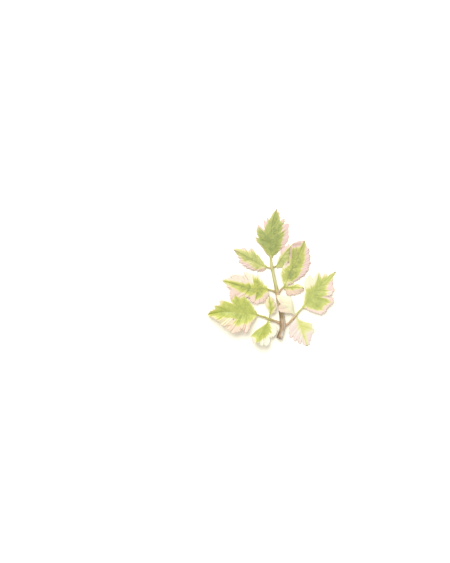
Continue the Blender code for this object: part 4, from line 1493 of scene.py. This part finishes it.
for node, (finish, path) in STALKS.items():
    add_stem(node, path, STALK_RIBS, finish, lower=STALK_LOWERED)
print(1 + len(STALKS), "stems are in place")

# %% [markdown]
# The sprig lies on a plain white table. It is a shade warmer than white and glows a
# little, a painted light that lifts its shadows, so that in the light it shows as white
# in the open, while its shadows stay light and keep a warm tone. It lies a hair below
# the bottom of the imported model. Its size and that gap are in metres.

# %% Table
TABLE_SIZE = 4.0
TABLE_GAP = 0.00005
TABLE_COLOUR = (0.85, 0.81, 0.69, 1.0)
# Painted light: the table glows a little, which lifts its shadows.
TABLE_PAINTED_GLOW = (1.0, 0.92, 0.74, 1.0)
TABLE_PAINTED_GLOW_STRENGTH = 0.16
TABLE_ROUGHNESS = 0.9

half = TABLE_SIZE / 2
table = bpy.data.meshes.new("table")
corners = [(-half, -half, 0), (half, -half, 0), (half, half, 0), (-half, half, 0)]
table.from_pydata(corners, [], [(0, 1, 2, 3)])
table_sheet = Sheet("table")
table_sheet.surface("Base Color", TABLE_COLOUR)
table_sheet.surface("Roughness", TABLE_ROUGHNESS)
table_sheet.surface("Emission Color", TABLE_PAINTED_GLOW)
table_sheet.surface("Emission Strength", TABLE_PAINTED_GLOW_STRENGTH)
table.materials.append(table_sheet.material)
floor = bpy.data.objects.new("table", table)
floor.location.z = cad_box[0][2] - TABLE_GAP
bpy.context.scene.collection.objects.link(floor)
print("the table's top is at", round(floor.location.z / MM, 2), "mm")

# %% [markdown]
# The light is bright and soft, from the upper left. A wide sun gives shadows with soft
# edges, and a white sky fills them. The sun's turn is about x and then y, from straight
# down.

# %% Light
SKY_STRENGTH = 0.72
SUN_STRENGTH = 3.3
SUN_WIDTH = np.radians(44)
SUN_TURN = (np.radians(-36), np.radians(-19), 0)

world = bpy.data.worlds.new("studio")
bpy.context.scene.world = world
world.use_nodes = True
world.node_tree.nodes["Background"].inputs["Color"].default_value = (1.0, 1.0, 1.0, 1.0)
world.node_tree.nodes["Background"].inputs["Strength"].default_value = SKY_STRENGTH

sun_data = bpy.data.lights.new("window", "SUN")
sun_data.energy = SUN_STRENGTH
sun_data.angle = SUN_WIDTH
sun = bpy.data.objects.new("window", sun_data)
sun.rotation_euler = SUN_TURN
bpy.context.scene.collection.objects.link(sun)
print("the sun is", round(float(np.degrees(SUN_WIDTH))), "degrees wide")

# %% [markdown]
# The camera looks straight down, from high up with a long lens. The sprig lies right of
# the picture's middle, so the camera stands over a point to its left. The height follows
# from the lens: picture height times focal length over the height of the sensor.

# %% Camera
PICTURE_HEIGHT_MM = 326.5
PICTURE_MIDDLE = (-27.0, -2.4)
LENS_MM = 100.0
SENSOR_MM = 36.0

camera_data = bpy.data.cameras.new("camera")
camera_data.lens = LENS_MM
camera_data.sensor_width = SENSOR_MM
camera = bpy.data.objects.new("camera", camera_data)
camera_height = PICTURE_HEIGHT_MM * LENS_MM / SENSOR_MM
camera.location = (PICTURE_MIDDLE[0] * MM, PICTURE_MIDDLE[1] * MM, camera_height * MM)
bpy.context.scene.collection.objects.link(camera)
bpy.context.scene.camera = camera
bpy.context.scene.view_settings.view_transform = "Standard"
print("camera is", round(camera.location.z, 3), "m above the table")
